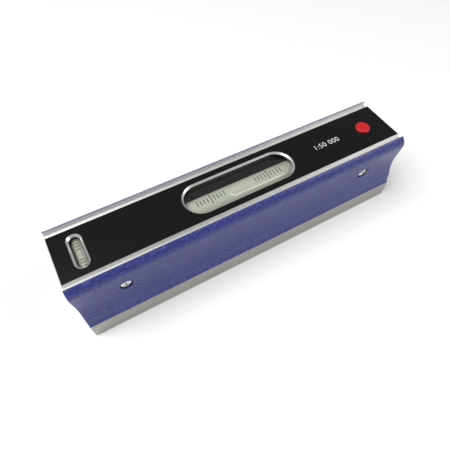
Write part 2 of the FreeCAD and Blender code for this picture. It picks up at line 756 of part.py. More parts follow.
def tube_end(doc, s, label, side, tip):
    """A plug in the end of the tube, with a tongue at the height of the pivot."""
    body = new_body(doc, label)
    glass_end = s.vial_length / 2 + s.vial_disc
    tube_end_x = s.tube_length / 2
    plug = new_sketch(body, "YZ_Plane", glass_end * side)
    circle(plug, bedding_radius(s), 0, s.vial_height)
    pad(body, plug, tube_end_x - glass_end, reverse=side < 0)
    tongue = new_sketch(body, "XZ_Plane")
    low = s.pivot_height - s.tongue_thickness / 2
    high = s.pivot_height + s.tongue_thickness / 2
    near, far = sorted((glass_end * side, tip * side), key=lambda size: size.value)
    rectangle(tongue, (near, low), (far, high))
    pad(body, tongue, s.tongue_width, both_ways=True)
    return body


def pivot_end(doc, s):
    """The plug whose eye turns on the pivot pin."""
    body = tube_end(doc, s, "pivot_end", -1, s.pivot_offset)
    eye = new_sketch(body, "XZ_Plane")
    circle(eye, s.eye_radius, -s.pivot_offset, s.pivot_height)
    pad(body, eye, s.tongue_width, both_ways=True)
    bore = new_sketch(body, "XZ_Plane")
    circle(bore, s.pin_radius + s.running_play, -s.pivot_offset, s.pivot_height)
    pocket(body, bore, s.tongue_width, both_ways=True)
    return body


def adjuster_end(doc, s):
    """The plug whose tongue carries the adjuster's nut."""
    body = tube_end(doc, s, "adjuster_end", 1, s.tongue_reach)
    hole = new_sketch(body, "XY_Plane", s.pivot_height - s.tongue_thickness)
    circle(hole, s.nut_radius, s.adjuster_offset)
    pocket(body, hole, s.tongue_thickness * 2, reverse=True)
    return body


def glass_tube(doc, label, radius, wall, length, middle, turn):
    """An open glass tube of the given length about a middle point."""
    start = [Size.of(value) for value in middle]
    axis = 0 if turn is ALONG_X else 1
    start[axis] = start[axis] - length / 2
    outside = cylinder(doc, f"{label}_outside", radius, length, *start, turn)
    inside = cylinder(doc, f"{label}_bore", radius - wall, length, *start, turn)
    return cut(doc, label, outside, inside)


def end_discs(doc, label, radius, length, thickness, middle, turn):
    """The two discs that close a glass tube."""
    axis = 0 if turn is ALONG_X else 1
    discs = []
    for number, offset in enumerate((length / 2, -(length / 2) - thickness)):
        start = [Size.of(value) for value in middle]
        start[axis] = start[axis] + offset
        discs.append(cylinder(doc, f"{label}_{number}", radius, thickness, *start, turn))
    return together(doc, label, discs)


def spirit(doc, label, radius, length, bubble, along_y=False):
    """The liquid in a vial, with the bubble as a flat-bottomed hollow at its top."""
    bubble_length, bubble_width, bubble_depth = bubble
    body = new_body(doc, label)
    section = new_sketch(body, "XZ_Plane" if along_y else "YZ_Plane")
    circle(section, radius)
    pad(body, section, length, both_ways=True)
    hollow = new_sketch(body, "XY_Plane", radius)
    stadium(hollow, bubble_length, bubble_width, along_y=along_y)
    pocket(body, hollow, bubble_depth)
    return body


def main_vial_spirit(doc, s):
    bubble = (s.bubble_length, s.bubble_width, s.bubble_depth)
    radius = s.vial_radius - s.vial_wall - s.liquid_play
    body = spirit(doc, "main_vial_spirit", radius, s.vial_length, bubble)
    place(body, 0, 0, s.vial_height)
    return body


# ---------------------------------------------------------------- the zero adjuster

def nut_bottom(s):
    return s.pivot_height - s.tongue_thickness / 2 - s.nut_flange_thickness


def nut_top(s):
    return s.pivot_height + s.tongue_thickness / 2 + s.nut_flange_thickness


def spring_floor(s):
    return s.block_top - s.spring_seat_depth


def adjuster_nut(doc, s):
    """The flanged brass nut that is pressed into the tongue from below."""
    body = new_body(doc, "adjuster_nut")
    profile = new_sketch(body, "XZ_Plane")
    bore = s.adjuster_radius + s.running_play
    under = nut_bottom(s) + s.nut_flange_thickness
    corners = ((bore, nut_bottom(s)), (s.nut_flange_radius, nut_bottom(s)), (s.nut_flange_radius, under),
               (s.nut_radius, under), (s.nut_radius, nut_top(s)), (bore, nut_top(s)))
    polygon(profile, corners)
    revolved(body, profile, "Z_Axis")
    place(body, s.adjuster_offset)
    return body


def adjusting_screw(doc, s):
    """The captive screw: a journal in the block, a collar on it, a thread for the nut and a socket head."""
    body = new_body(doc, "adjusting_screw")
    radius = s.adjuster_radius
    groove_top = s.block_bottom
    groove_bottom = groove_top - s.clip_thickness - s.clip_play * 2
    collar = spring_floor(s) + s.collar_play
    head = nut_top(s) + s.cap_head_clearance
    head_top = head + s.cap_head_height
    profile = new_sketch(body, "XZ_Plane")
    corners = ((0, groove_bottom - s.tip_length), (radius, groove_bottom - s.tip_length),
               (radius, groove_bottom), (s.neck_radius, groove_bottom), (s.neck_radius, groove_top),
               (radius, groove_top), (radius, collar), (s.collar_radius, collar),
               (s.collar_radius, collar + s.collar_height), (radius, collar + s.collar_height),
               (radius, head), (s.cap_head_radius, head), (s.cap_head_radius, head_top), (0, head_top))
    polygon(profile, corners)
    revolved(body, profile, "Z_Axis")
    socket = new_sketch(body, "XY_Plane", head_top)
    corner = s.socket_width / 2 / Size(30).cos()
    flat = s.socket_width / 2
    side = corner / 2
    polygon(socket, ((corner, 0), (side, flat), (-side, flat), (-corner, 0), (-side, -flat), (side, -flat)))
    pocket(body, socket, s.socket_depth)
    place(body, s.adjuster_offset)
    return body


def adjuster_clip(doc, s):
    """The retaining ring in the screw's groove, under the block."""
    body = new_body(doc, "adjuster_clip")
    bottom = s.block_bottom - s.clip_play - s.clip_thickness
    ring = new_sketch(body, "XY_Plane", bottom)
    circle(ring, s.clip_radius)
    circle(ring, s.neck_radius)
    pad(body, ring, s.clip_thickness)
    mouth = new_sketch(body, "XY_Plane", bottom)
    rectangle(mouth, (0, -s.clip_gap / 2), (s.clip_radius * 2, s.clip_gap / 2))
    pocket(body, mouth, s.clip_thickness, reverse=True)
    place(body, s.adjuster_offset)
    return body


def adjuster_spring(doc, s):
    """The compression spring between its seat in the block and the nut's flange."""
    body = new_body(doc, "adjuster_spring")
    wire = new_sketch(body, "XZ_Plane")
    reach = s.spring_wire / 2
    flat = reach * Size(30).cos()
    right = ((0, -reach), (flat, -reach / 2), (flat, reach / 2))
    left = [(-x, -z) for x, z in right]
    polygon(wire, [(s.spring_radius + x, z) for x, z in [*right, *left]])
    coil = body.newObject("PartDesign::AdditiveHelix", "Coil")
    coil.Profile = wire
    coil.ReferenceAxis = (origin_feature(body, "Z_Axis"), [""])
    coil.Mode = "height-turns-angle"
    bind(coil, "Height", nut_bottom(s) - spring_floor(s) - s.spring_wire)
    bind(coil, "Turns", s.spring_turns)
    place(body, s.adjuster_offset, 0, spring_floor(s) + s.spring_wire / 2)
    return body


# ---------------------------------------------------------------- the cross vial

def trough_radius(s):
    return s.cross_vial_radius + s.cross_bedding


def cross_vial_holder(doc, s):
    """A block on the pivot block, with a half-round trough across it for the cross vial."""
    body = new_body(doc, "cross_vial_holder")
    outline = new_sketch(body, "XZ_Plane")
    half = s.holder_width / 2
    rectangle(outline, (-half, s.block_top), (half, s.holder_top))
    length = s.cheek_gap - s.holder_play * 2
    pad(body, outline, length, both_ways=True)
    trough = new_sketch(body, "XZ_Plane")
    circle(trough, trough_radius(s), 0, s.cross_vial_height)
    pocket(body, trough, length, both_ways=True)
    holes = new_sketch(body, "XY_Plane", s.block_top)
    for y in (-s.holder_screw_offset, s.holder_screw_offset):
        circle(holes, s.holder_screw_radius + s.thread_play, 0, y)
    pocket(body, holes, holder_screw_top(s) - s.block_top + s.thread_play, reverse=True)
    place(body, -s.cross_offset)
    return body


def cross_vial_bedding(doc, s):
    """The plaster between the cross vial and its trough."""
    body = new_body(doc, "cross_vial_bedding")
    ring = new_sketch(body, "XZ_Plane")
    circle(ring, trough_radius(s), 0, s.cross_vial_height)
    circle(ring, s.cross_vial_radius, 0, s.cross_vial_height)
    pad(body, ring, s.cross_vial_length, both_ways=True)
    upper = new_sketch(body, "XZ_Plane")
    half = s.holder_width
    rectangle(upper, (-half, s.holder_top), (half, s.cross_vial_height + s.holder_width))
    pocket(body, upper, s.cross_vial_length * 2, both_ways=True)
    place(body, -s.cross_offset)
    return body


def holder_screw_top(s):
    return s.block_bottom + s.holder_head_height + s.holder_screw_length


def cross_vial_screws(doc, s):
    """Two small screws that hold the trough down from below the pivot block."""
    screw = new_body(doc, "holder_screw")
    profile = new_sketch(screw, "XZ_Plane")
    top = s.holder_head_height + s.holder_screw_length
    corners = ((0, 0), (s.holder_head_radius, 0), (s.holder_head_radius, s.holder_head_height),
               (s.holder_screw_radius, s.holder_head_height), (s.holder_screw_radius, top), (0, top))
    polygon(profile, corners)
    revolved(screw, profile, "Z_Axis")
    place(screw, -s.cross_offset, -s.holder_screw_offset, s.block_bottom)
    return together(doc, "cross_vial_screws", [screw, mirror_copy(doc, screw, FreeCAD.Vector(0, 1, 0))])


def cross_vial_spirit(doc, s):
    bubble = (s.cross_bubble_length, s.cross_bubble_width, s.cross_bubble_depth)
    radius = s.cross_vial_radius - s.cross_vial_wall - s.liquid_play
    body = spirit(doc, "cross_vial_spirit", radius, s.cross_vial_length, bubble, along_y=True)
    place(body, -s.cross_offset, 0, s.cross_vial_height)
    return body


# ---------------------------------------------------------------- the whole level

def build(doc, s):
    main_middle = (0, 0, s.vial_height)
    cross_middle = (-s.cross_offset, 0, s.cross_vial_height)
    cross_pane_length = s.cross_opening_width + s.cross_pane_overlap * 2
    return [
        level_body(doc, s),
        side_screws(doc, s),
        top_cover(doc, s),
        window_pane(doc, s, "main_window", s.main_pane_length, 0),
        window_pane(doc, s, "cross_window", cross_pane_length, -s.cross_offset),
        adjuster_cap(doc, s),
        pivot_block(doc, s),
        adjuster_block(doc, s),
        pivot_pin(doc, s),
        vial_tube(doc, s),
        vial_bedding(doc, s),
        pivot_end(doc, s),
        adjuster_end(doc, s),
        glass_tube(doc, "main_vial_glass", s.vial_radius, s.vial_wall, s.vial_length, main_middle, ALONG_X),
        end_discs(doc, "main_vial_ends", s.vial_radius, s.vial_length, s.vial_disc, main_middle, ALONG_X),
        main_vial_spirit(doc, s),
        adjuster_nut(doc, s),
        adjusting_screw(doc, s),
        adjuster_clip(doc, s),
        adjuster_spring(doc, s),
        cross_vial_holder(doc, s),
        cross_vial_bedding(doc, s),
        cross_vial_screws(doc, s),
        glass_tube(doc, "cross_vial_glass", s.cross_vial_radius, s.cross_vial_wall, s.cross_vial_length,
                   cross_middle, ALONG_Y),
        end_discs(doc, "cross_vial_ends", s.cross_vial_radius, s.cross_vial_length, s.cross_vial_disc,
                  cross_middle, ALONG_Y),
        cross_vial_spirit(doc, s),
    ]


def check(doc, pieces):
    """Stop if any object failed or any piece has no valid shape."""
    for thing in doc.Objects:
        if "Invalid" in thing.State or "Error" in thing.State:
            raise RuntimeError(f"{thing.Label} failed: {thing.State}")
    for piece in pieces:
        if piece.Shape.isNull() or not piece.Shape.isValid():
            raise RuntimeError(f"{piece.Label} has no valid shape")


def main():
    doc = FreeCAD.newDocument("bar_level")
    sizes = Sheet(doc)
    work_out(sizes)
    doc.recompute()
    pieces = build(doc, sizes)
    doc.recompute()
    check(doc, pieces)
    os.makedirs("parts", exist_ok=True)
    for piece in pieces:
        piece.Shape.exportStep(os.path.join("parts", f"{piece.Label}.step"))
        print(f"{piece.Label}: {len(piece.Shape.Solids)} solids, {piece.Shape.Volume / 1000:.3f} cm3")


main()
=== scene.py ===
"""The looks of a 200 mm bar level, built over its CAD frame.

X runs along the level, from the cross vial towards the zero adjuster. Y runs across it and Z points up.
The origin is at the middle of the base. Lengths are in metres and angles in radians, as Blender keeps them.
"""

import math

import bpy
from bpy.props import FloatProperty, FloatVectorProperty, IntProperty, PointerProperty, StringProperty
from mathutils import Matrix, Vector


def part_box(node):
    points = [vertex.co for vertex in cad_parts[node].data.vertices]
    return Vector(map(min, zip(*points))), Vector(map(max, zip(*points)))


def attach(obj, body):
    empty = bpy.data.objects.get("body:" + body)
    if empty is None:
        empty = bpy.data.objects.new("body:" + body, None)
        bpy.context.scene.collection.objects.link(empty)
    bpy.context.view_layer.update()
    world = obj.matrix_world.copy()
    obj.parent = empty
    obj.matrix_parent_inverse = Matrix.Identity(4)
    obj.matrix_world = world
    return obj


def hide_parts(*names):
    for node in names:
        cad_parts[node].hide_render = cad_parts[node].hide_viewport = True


bl_info = {
    "name": "Bar level",
    "version": (1, 0, 0),
    "blender": (4, 5, 0),
    "location": "3D View > Sidebar > Level",
    "description": "Builds the visible pieces of a bar level over its CAD frame",
    "category": "Object",
}

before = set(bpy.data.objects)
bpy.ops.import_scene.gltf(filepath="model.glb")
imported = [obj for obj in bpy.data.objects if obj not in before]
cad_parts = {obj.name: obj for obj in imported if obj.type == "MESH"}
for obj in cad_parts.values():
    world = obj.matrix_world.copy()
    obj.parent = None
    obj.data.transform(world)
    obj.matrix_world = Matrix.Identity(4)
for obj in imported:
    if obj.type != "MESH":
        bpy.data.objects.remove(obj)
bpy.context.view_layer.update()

MM = 0.001
BODY_LOW, BODY_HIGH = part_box("level_body")
COVER_LOW, COVER_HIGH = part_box("top_cover")
CAP_LOW, CAP_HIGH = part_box("adjuster_cap")
VIAL_LOW, VIAL_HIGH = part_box("main_vial_glass")
CROSS_LOW, CROSS_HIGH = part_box("cross_vial_glass")
SCREWS_LOW, SCREWS_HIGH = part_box("side_screws")

COVER_TOP = COVER_HIGH.z
VIAL_RADIUS = (VIAL_HIGH.z - VIAL_LOW.z) / 2
VIAL_HEIGHT = (VIAL_HIGH.z + VIAL_LOW.z) / 2
CROSS_RADIUS = (CROSS_HIGH.z - CROSS_LOW.z) / 2
CROSS_MIDDLE = (CROSS_LOW + CROSS_HIGH) / 2
CAP_MIDDLE = (CAP_LOW + CAP_HIGH) / 2
SCREWS_MIDDLE = (SCREWS_LOW + SCREWS_HIGH) / 2
HEAD_RADIUS = (SCREWS_HIGH.z - SCREWS_LOW.z) / 2

# Two places nearer than this count as the same
NEAR = 0.01 * MM


def length(name, value, meaning):
    """A length that the user may set."""
    return FloatProperty(name=name, description=meaning, default=value, subtype="DISTANCE",
                         unit="LENGTH", precision=5)


def colour(name, value, meaning):
    """A linear colour that the user may set."""
    return FloatVectorProperty(name=name, description=meaning, default=value, subtype="COLOR",
                               size=3, min=0, max=1)


class BodySizes(bpy.types.PropertyGroup):
    """The casting's section and holes."""

    band_height: length("Band height", 12 * MM, "Height of the ground band round the base")
    foot_width: length("Foot width", 42 * MM, "Width of the painted foot above the band")
    foot_height: length("Foot height", 13.8 * MM, "Height at which the step above the band ends")
    sill_width: length("Sill width", 41 * MM, "Width where the hollow flank begins")
    sill_height: length("Sill height", 18.5 * MM, "Height where the hollow flank begins")
    waist_width: length("Waist width", 37.6 * MM, "Narrowest width of the hollow flanks")
    waist_height: length("Waist height", 28.5 * MM, "Height of the narrowest width")
    lip_width: length("Lip width", 40.9 * MM, "Widest width of the two lips")
    lip_height: length("Lip height", 42.9 * MM, "Height of the lips' widest line")
    lip_radius: length("Lip radius", 6 * MM, "Rounding of the lips' outer side")
    channel_width: length("Channel width", 34.2 * MM, "Width of the milled channel between the lips")
    ledge_height: length("Ledge height", 45.6 * MM, "Height of the channel's floor")
    groove_width: length("Groove width", 22 * MM, "Width of the groove in the base")
    groove_root: length("Groove root", 4 * MM, "Height at which the groove's faces meet")
    relief_width: length("Relief width", 2 * MM, "Width of the slot along the groove's root")
    relief_top: length("Relief top", 5.2 * MM, "Height of the top of that slot")
    pocket_length: length("Pocket length", 188 * MM, "Length of the pocket for the mechanism")
    pocket_width: length("Pocket width", 24 * MM, "Width of that pocket")
    pocket_floor: length("Pocket floor", 20 * MM, "Height of that pocket's floor")
    softening: length("Softening", 0.3 * MM, "Rounding of the casting's edges")
    screw_offset: length("Screw offset", 74.7 * MM, "Distance of the side screws from the middle")
    screw_height: length("Screw height", 31.5 * MM, "Height of the side screws")
    seat_radius: length("Seat radius", 3.7 * MM, "Radius of the sunk seat round a screw's head")
    seat_offset: length("Seat offset", 16.4 * MM, "Distance of that seat from the middle plane")
    shank_hole: length("Shank hole", 2.3 * MM, "Radius of the hole for a screw's shank")
    shank_radius: length("Shank radius", 2 * MM, "Radius of a side screw's shank")
    shank_length: length("Shank length", 12 * MM, "Length of a side screw under its head")
    cross_span: length("Cross span", 3.5 * MM, "Span of the cross in a screw's head")
    cross_blade: length("Cross blade", 0.84 * MM, "Width of one arm of that cross")
    cross_depth: length("Cross depth", 1.2 * MM, "Depth of that cross")


class CoverSizes(bpy.types.PropertyGroup):
    """The cover, its windows and the cap."""

    thickness: length("Thickness", 1.8 * MM, "Thickness of the cover's top")
    end_bevel: length("End bevel", 0.35 * MM, "Bevel on the cover's two ends")
    cheek_gap: length("Cheek gap", 19 * MM, "Distance between the inner faces of the cheeks")
    cheek_thickness: length("Cheek thickness", 2.2 * MM, "Thickness of a cheek")
    cheek_length: length("Cheek length", 183 * MM, "Length of the cheeks")
    window_length: length("Window length", 66.5 * MM, "Length of the long window")
    window_width: length("Window width", 20.3 * MM, "Width of the long window")
    window_rim: length("Window rim", 0.95 * MM, "Bevel round the long window")
    cross_length: length("Cross window length", 20.5 * MM, "Length of the short window")
    cross_width: length("Cross window width", 7.6 * MM, "Width of the short window")
    cross_rim: length("Cross window rim", 1.05 * MM, "Bevel round the short window")
    cap_hole: length("Cap hole", 3 * MM, "Radius of the hole for the cap")
    cap_play: length("Cap play", 0.05 * MM, "Clearance round the cap's stem")
    shank_hole: length("Shank hole", 2.3 * MM, "Radius of the holes for the side screws")
    figure_place: length("Figures' place", 57.5 * MM, "Distance of the middle of the figures from the middle")
    figure_height: length("Figures' height", 3.4 * MM, "Height of the figures")


class VialSizes(bpy.types.PropertyGroup):
    """The two vials and their marks."""

    contact: length("Contact", 0.02 * MM, "How far the glass sinks into its plaster")
    bubble_place: length("Bubble place", 11.5 * MM, "How far the main bubble stands from the middle")
    bubble_length: length("Bubble length", 38 * MM, "Length of the main bubble")
    bubble_width: length("Bubble width", 7.3 * MM, "Width of the main bubble")
    bubble_depth: length("Bubble depth", 1.25 * MM, "Depth of the main bubble under the top of the bore")
    wall: length("Wall", 1.2 * MM, "Wall of the main vial")
    mark_pitch: length("Mark pitch", 2 * MM, "Distance between two marks")
    mark_middle: length("Middle mark", 17.7 * MM, "Distance of the long mark in each group from the middle")
    mark_width: length("Mark width", 0.5 * MM, "Width of a mark")
    short_mark: length("Short mark", 3.4 * MM, "Length of a short mark round the glass")
    long_mark: length("Long mark", 6.2 * MM, "Length of the long mark round the glass")
    marks_each_side: IntProperty(name="Marks each side", default=4,
                                 description="Short marks on each side of the long one")
    cross_wall: length("Cross wall", 0.7 * MM, "Wall of the cross vial")
    cross_bubble_length: length("Cross bubble length", 6 * MM, "Length of the cross bubble")
    cross_bubble_width: length("Cross bubble width", 3 * MM, "Width of the cross bubble")
    cross_bubble_depth: length("Cross bubble depth", 0.5 * MM, "Depth of the cross bubble")
    cross_mark_pitch: length("Cross mark pitch", 1.9 * MM, "Distance between two marks of the cross vial")
    cross_marks: IntProperty(name="Cross marks", description="Marks at each end of the cross vial", default=3)
    cross_mark_width: length("Cross mark width", 0.45 * MM, "Width of a mark on the cross vial")
    cross_mark_length: length("Cross mark length", 2.4 * MM, "Length of that mark round the glass")
    cross_mark_start: length("Cross mark start", 3 * MM, "Distance of the first mark from the middle plane")


class Colours(bpy.types.PropertyGroup):
    """The finishes' main colours."""

    enamel: colour("Enamel", (0.036, 0.045, 0.25), "Blue enamel of the flanks")
    # The dark blue is painted shade in the grain's hollows, and also the darker patches of the enamel's
    # random tone
    enamel_tone_and_shade: colour("Dark enamel", (0.012, 0.015, 0.11), "Blue in the hollows of its grain")
    iron: colour("Ground iron", (0.43, 0.42, 0.39), "Bare ground iron")
    ledge: colour("Milled iron", (0.74, 0.74, 0.73), "Freshly milled iron of the channel")
    black: colour("Black", (0.004, 0.004, 0.004), "Black anodised cover")
    aluminium: colour("Aluminium", (0.78, 0.78, 0.76), "Bare aluminium")
    red: colour("Red", (0.62, 0.016, 0.02), "Red plastic of the cap")
    plaster: colour("Plaster", (0.66, 0.67, 0.55), "Plaster seen through the spirit")
    spirit: colour("Spirit", (0.62, 0.63, 0.54), "Plaster seen through the glass and the spirit")
    ink: colour("Ink", (0.03, 0.032, 0.02), "Marks on the vials")
    print: colour("Print", (0.8, 0.8, 0.8), "Printed figures")


class StageSizes(bpy.types.PropertyGroup):
    """The camera and the lights."""

    eye: FloatVectorProperty(name="Camera", description="Place of the camera",
                             subtype="TRANSLATION", unit="LENGTH",
                             default=(-71.6 * MM, -113.8 * MM, 205.8 * MM))
    aim: FloatVectorProperty(name="Aim", description="Point that the camera looks at",
                             subtype="TRANSLATION", unit="LENGTH",
                             default=(-12.4 * MM, -16.8 * MM, 30 * MM))
    roll: FloatProperty(name="Roll", description="Turn of the camera about its line of sight",
                        subtype="ANGLE", default=math.radians(-1.9))
    lens: FloatProperty(name="Lens", description="Focal length in millimetres, on a frame 36 mm wide",
                        default=30.96)
    shift_right: FloatProperty(name="Shift across", description="Sideways shift of the lens", default=-0.022)
    shift_up: FloatProperty(name="Shift up", description="Upward shift of the lens", default=0.014)


# ---------------------------------------------------------------- finishes

class Output:
    """One output in a finish; arithmetic and comparisons with it add Math nodes."""

    def __init__(self, finish, socket):
        self.finish = finish
        self.socket = socket

    def math(self, operation, first, second):
        return self.finish.math(operation, first, second)

    def __add__(self, other):
        return self.math("ADD", self, other)

    def __sub__(self, other):
        return self.math("SUBTRACT", self, other)

    def __rsub__(self, other):
        return self.math("SUBTRACT", other, self)

    def __mul__(self, other):
        return self.math("MULTIPLY", self, other)

    def __truediv__(self, other):
        return self.math("DIVIDE", self, other)

    def __gt__(self, other):
        return self.math("GREATER_THAN", self, other)

    def __lt__(self, other):
        return self.math("LESS_THAN", self, other)

    def __abs__(self):
        return self.math("ABSOLUTE", self, 0)

    __radd__ = __add__
    __rmul__ = __mul__


class Finish:
    """A material whose nodes are added one by one."""

    def __init__(self, name):
        self.material = bpy.data.materials.new(name)
        self.material.use_nodes = True
        self.tree = self.material.node_tree
        self.tree.nodes.clear()

    def node(self, kind, settings=None, inputs=None, output=0):
        """Add a node: its settings first, then the values or links of its sockets."""
        node = self.tree.nodes.new("ShaderNode" + kind)
        for name, value in (settings or {}).items():
            if name == "stops":
                set_stops(node.color_ramp, value)
            else:
                setattr(node, name, value)
        for name, value in (inputs or {}).items():
            if isinstance(value, Output):
                self.tree.links.new(value.socket, node.inputs[name])
            else:
                node.inputs[name].default_value = value
        return Output(self, node.outputs[output])

    def place(self, stretch=(1, 1, 1)):
        """The object's own coordinates, stretched along its axes."""
        coordinates = self.node("TexCoord", output="Object")
        return self.node("Mapping", {"vector_type": "POINT"}, {"Vector": coordinates, "Scale": stretch})

    def math(self, operation, first, second):
        return self.node("Math", {"operation": operation}, {0: first, 1: second})

    def noise(self, scale, detail=2, roughness=0.5, stretch=(1, 1, 1)):
        inputs = {"Vector": self.place(stretch), "Scale": scale, "Detail": detail, "Roughness": roughness}
        return self.node("TexNoise", None, inputs, "Fac")

    def cells(self, scale, smoothness):
        inputs = {"Vector": self.place(), "Scale": scale, "Smoothness": smoothness}
        return self.node("TexVoronoi", {"feature": "SMOOTH_F1"}, inputs, "Distance")

    def between(self, share, first, second):
        """A colour mixed from two, by a share from 0 to 1."""
        inputs = {0: share, 6: opaque(first), 7: opaque(second)}
        return self.node("Mix", {"data_type": "RGBA"}, inputs, 2)

    def clamp(self, value, low=0, high=1):
        return self.node("Clamp", None, {"Value": value, "Min": low, "Max": high})

    def bump(self, height, depth, strength):
        return self.node("Bump", None, {"Height": height, "Distance": depth, "Strength": strength})

    def surface(self, **inputs):
        """The main shader; an underscore stands for the space in a socket's name."""
        named = {name.replace("_", " "): value for name, value in inputs.items()}
        return self.node("BsdfPrincipled", None, named)

    def done(self, shader):
        """Link the shader to the finish's end, and give back the material."""
        end = self.tree.nodes.new("ShaderNodeOutputMaterial")
        self.tree.links.new(shader.socket, end.inputs["Surface"])
        return self.material


def opaque(value):
    return value if isinstance(value, Output) else (*value, 1)


def set_stops(ramp, stops):
    while len(ramp.elements) < len(stops):
        ramp.elements.new(1)
    for element, (position, value) in zip(ramp.elements, stops):
        element.position = position
        element.color = (*value, 1) if hasattr(value, "__len__") else (value, value, value, 1)


def hammered_enamel(colours):
    """Thick blue enamel with an orange-peel grain about a millimetre across; the grain's hollows are painted
    darker as painted shade, over a random cloudy tone.
    """
    finish = Finish("hammered_enamel")
    peel = finish.cells(760, 0.6)
    fine = finish.noise(1500, 2, 0.55)
    cloud = finish.noise(60, 2)
    height = peel * 0.9 + fine * 0.6
    # Painted shade: the lower the grain, the darker the blue, with broad random clouds of darker and lighter
    # tone on top
    tone_and_hollow_shade = finish.clamp(height * 1.5 + cloud * 0.4 - 0.6)
    base = finish.between(tone_and_hollow_shade, tuple(colours.enamel_tone_and_shade), tuple(colours.enamel))
    normal = finish.bump(height, 0.6 * MM, 0.8)
    return finish.done(finish.surface(Base_Color=base, Roughness=0.36, Normal=normal, IOR=1.45,
                                      Coat_Weight=0.2, Coat_Roughness=0.25))


def ground_iron(colours):
    """Cast iron ground lengthwise, with fine streaks along the level."""
    finish = Finish("ground_iron")
    streaks = finish.noise(5200, 3, 0.6, (0.02, 1, 1))
    broad = finish.noise(300, 2, 0.5, (0.12, 1, 1))
    dark = tuple(channel * 0.74 for channel in colours.iron)
    base = finish.between(finish.clamp(streaks * 0.8 + broad * 0.5 - 0.15), dark, tuple(colours.iron))
    normal = finish.bump(streaks, 0.02 * MM, 0.5)
    return finish.done(finish.surface(Base_Color=base, Metallic=0.85, Roughness=0.36 + streaks * 0.16,
                                      Normal=normal))


def milled_iron(colours):
    """Bright milled iron of the channel and its ledges."""
    finish = Finish("milled_iron")
    streaks = finish.noise(3800, 2, 0.5, (0.04, 1, 1))
    broad = finish.noise(160, 2, 0.5, (0.2, 1, 1))
    dark = tuple(channel * 0.82 for channel in colours.ledge)
    base = finish.between(finish.clamp(streaks * 0.7 + broad * 0.6 - 0.2), dark, tuple(colours.ledge))
    normal = finish.bump(streaks, 0.015 * MM, 0.4)
    return finish.done(finish.surface(Base_Color=base, Metallic=0.7, Roughness=0.42 + streaks * 0.1,
                                      Normal=normal))


def black_anodised(colours):
    """Fine satin black anodising."""
    finish = Finish("black_anodised")
    grain = finish.noise(3000, 3, 0.6)
    smear = finish.noise(35, 2, 0.5, (1, 2, 1))
    pale = tuple(channel * 1.5 for channel in colours.black)
    base = finish.between(grain, tuple(colours.black), pale)
    normal = finish.bump(grain, 0.01 * MM, 0.25)
    return finish.done(finish.surface(Base_Color=base, Roughness=0.16 + smear * 0.08, Normal=normal, IOR=1.4))


def cut_aluminium(colours):
    """Bright bare aluminium, with the marks of the tool round the cut."""
    finish = Finish("cut_aluminium")
    grain = finish.noise(2600, 2, 0.5)
    dull = tuple(channel * 0.86 for channel in colours.aluminium)
    base = finish.between(grain, dull, tuple(colours.aluminium))
    normal = finish.bump(grain, 0.01 * MM, 0.3)
    return finish.done(finish.surface(Base_Color=base, Metallic=0.75, Roughness=0.3 + grain * 0.15,
                                      Normal=normal))


def satin_metal(name, tint, metallic=1, roughness=0.34):
    """Plain machined metal for the mechanism, with faint turning marks."""
    finish = Finish(name)
    grain = finish.noise(2200, 3, 0.6, (0.3, 1, 1))
    dull = tuple(channel * 0.78 for channel in tint)
    base = finish.between(grain, dull, tint)
    normal = finish.bump(grain, 0.01 * MM, 0.4)
    return finish.done(finish.surface(Base_Color=base, Metallic=metallic, Roughness=roughness + grain * 0.14,
                                      Normal=normal))


def polished_steel(name, tint):
    """Plated steel of the screws' heads."""
    finish = Finish(name)
    grain = finish.noise(1800, 2, 0.5)
    dull = tuple(channel * 0.9 for channel in tint)
    base = finish.between(grain, dull, tint)
    normal = finish.bump(grain, 0.01 * MM, 0.3)
    return finish.done(finish.surface(Base_Color=base, Metallic=0.9, Roughness=0.2 + grain * 0.12,
                                      Normal=normal))


def white_plaster(colours):
    """Plaster round a vial, faintly mottled."""
    finish = Finish("white_plaster")
    mottle = finish.noise(500, 3, 0.6)
    grain = finish.noise(4000, 2, 0.5)
    dull = tuple(channel * 0.88 for channel in colours.plaster)
    base = finish.between(mottle, dull, tuple(colours.plaster))
    normal = finish.bump(grain, 0.03 * MM, 0.4)
    return finish.done(finish.surface(Base_Color=base, Roughness=0.7 + grain * 0.2, Normal=normal))


def filled_glass(name, colours, bubble, place, along_y=False):
    """Glass over spirit and plaster: pale, under a clear gloss, with a painted highlight along the upper near
    edge of the bubble.
    """
    finish = Finish(name)
    mottle = finish.noise(420, 3)
    dull = tuple(channel * 0.86 for channel in colours.spirit)
    pale = finish.between(mottle, dull, tuple(colours.spirit))
    split = finish.node("SeparateXYZ", None, {0: finish.node("TexCoord", output="Object")}, "X")
    across = Output(finish, split.socket.node.outputs["Y"])
    height = Output(finish, split.socket.node.outputs["Z"])
    along, across = (across, split) if along_y else (split, across)
    centre_x, centre_y, centre_z = place
    bubble_length, bubble_width, _ = bubble
    beyond = abs(along - (centre_y if along_y else centre_x)) - (bubble_length - bubble_width) / 2
    beyond = finish.math("MAXIMUM", beyond, 0)
    aside = across - (centre_x if along_y else centre_y)
    reach = finish.math("SQRT", beyond * beyond + aside * aside, 0)
    # Painted highlight: a near-white line (1, 1, 0.96) on the bubble's rim, only on its upper half and on the
    # side nearer the camera
    rim = abs(reach - bubble_width / 2) < bubble_width * 0.045
    near_side = aside > bubble_width * 0.2 if along_y else aside < bubble_width * -0.2
    painted_highlight_share = rim * near_side * (height > centre_z) * 0.8
    base = finish.between(painted_highlight_share, pale, (1, 1, 0.96))
    return finish.done(finish.surface(Base_Color=base, Roughness=0.3 + mottle * 0.1, Coat_Weight=1, IOR=1.45,
                                      Coat_Roughness=0.03))


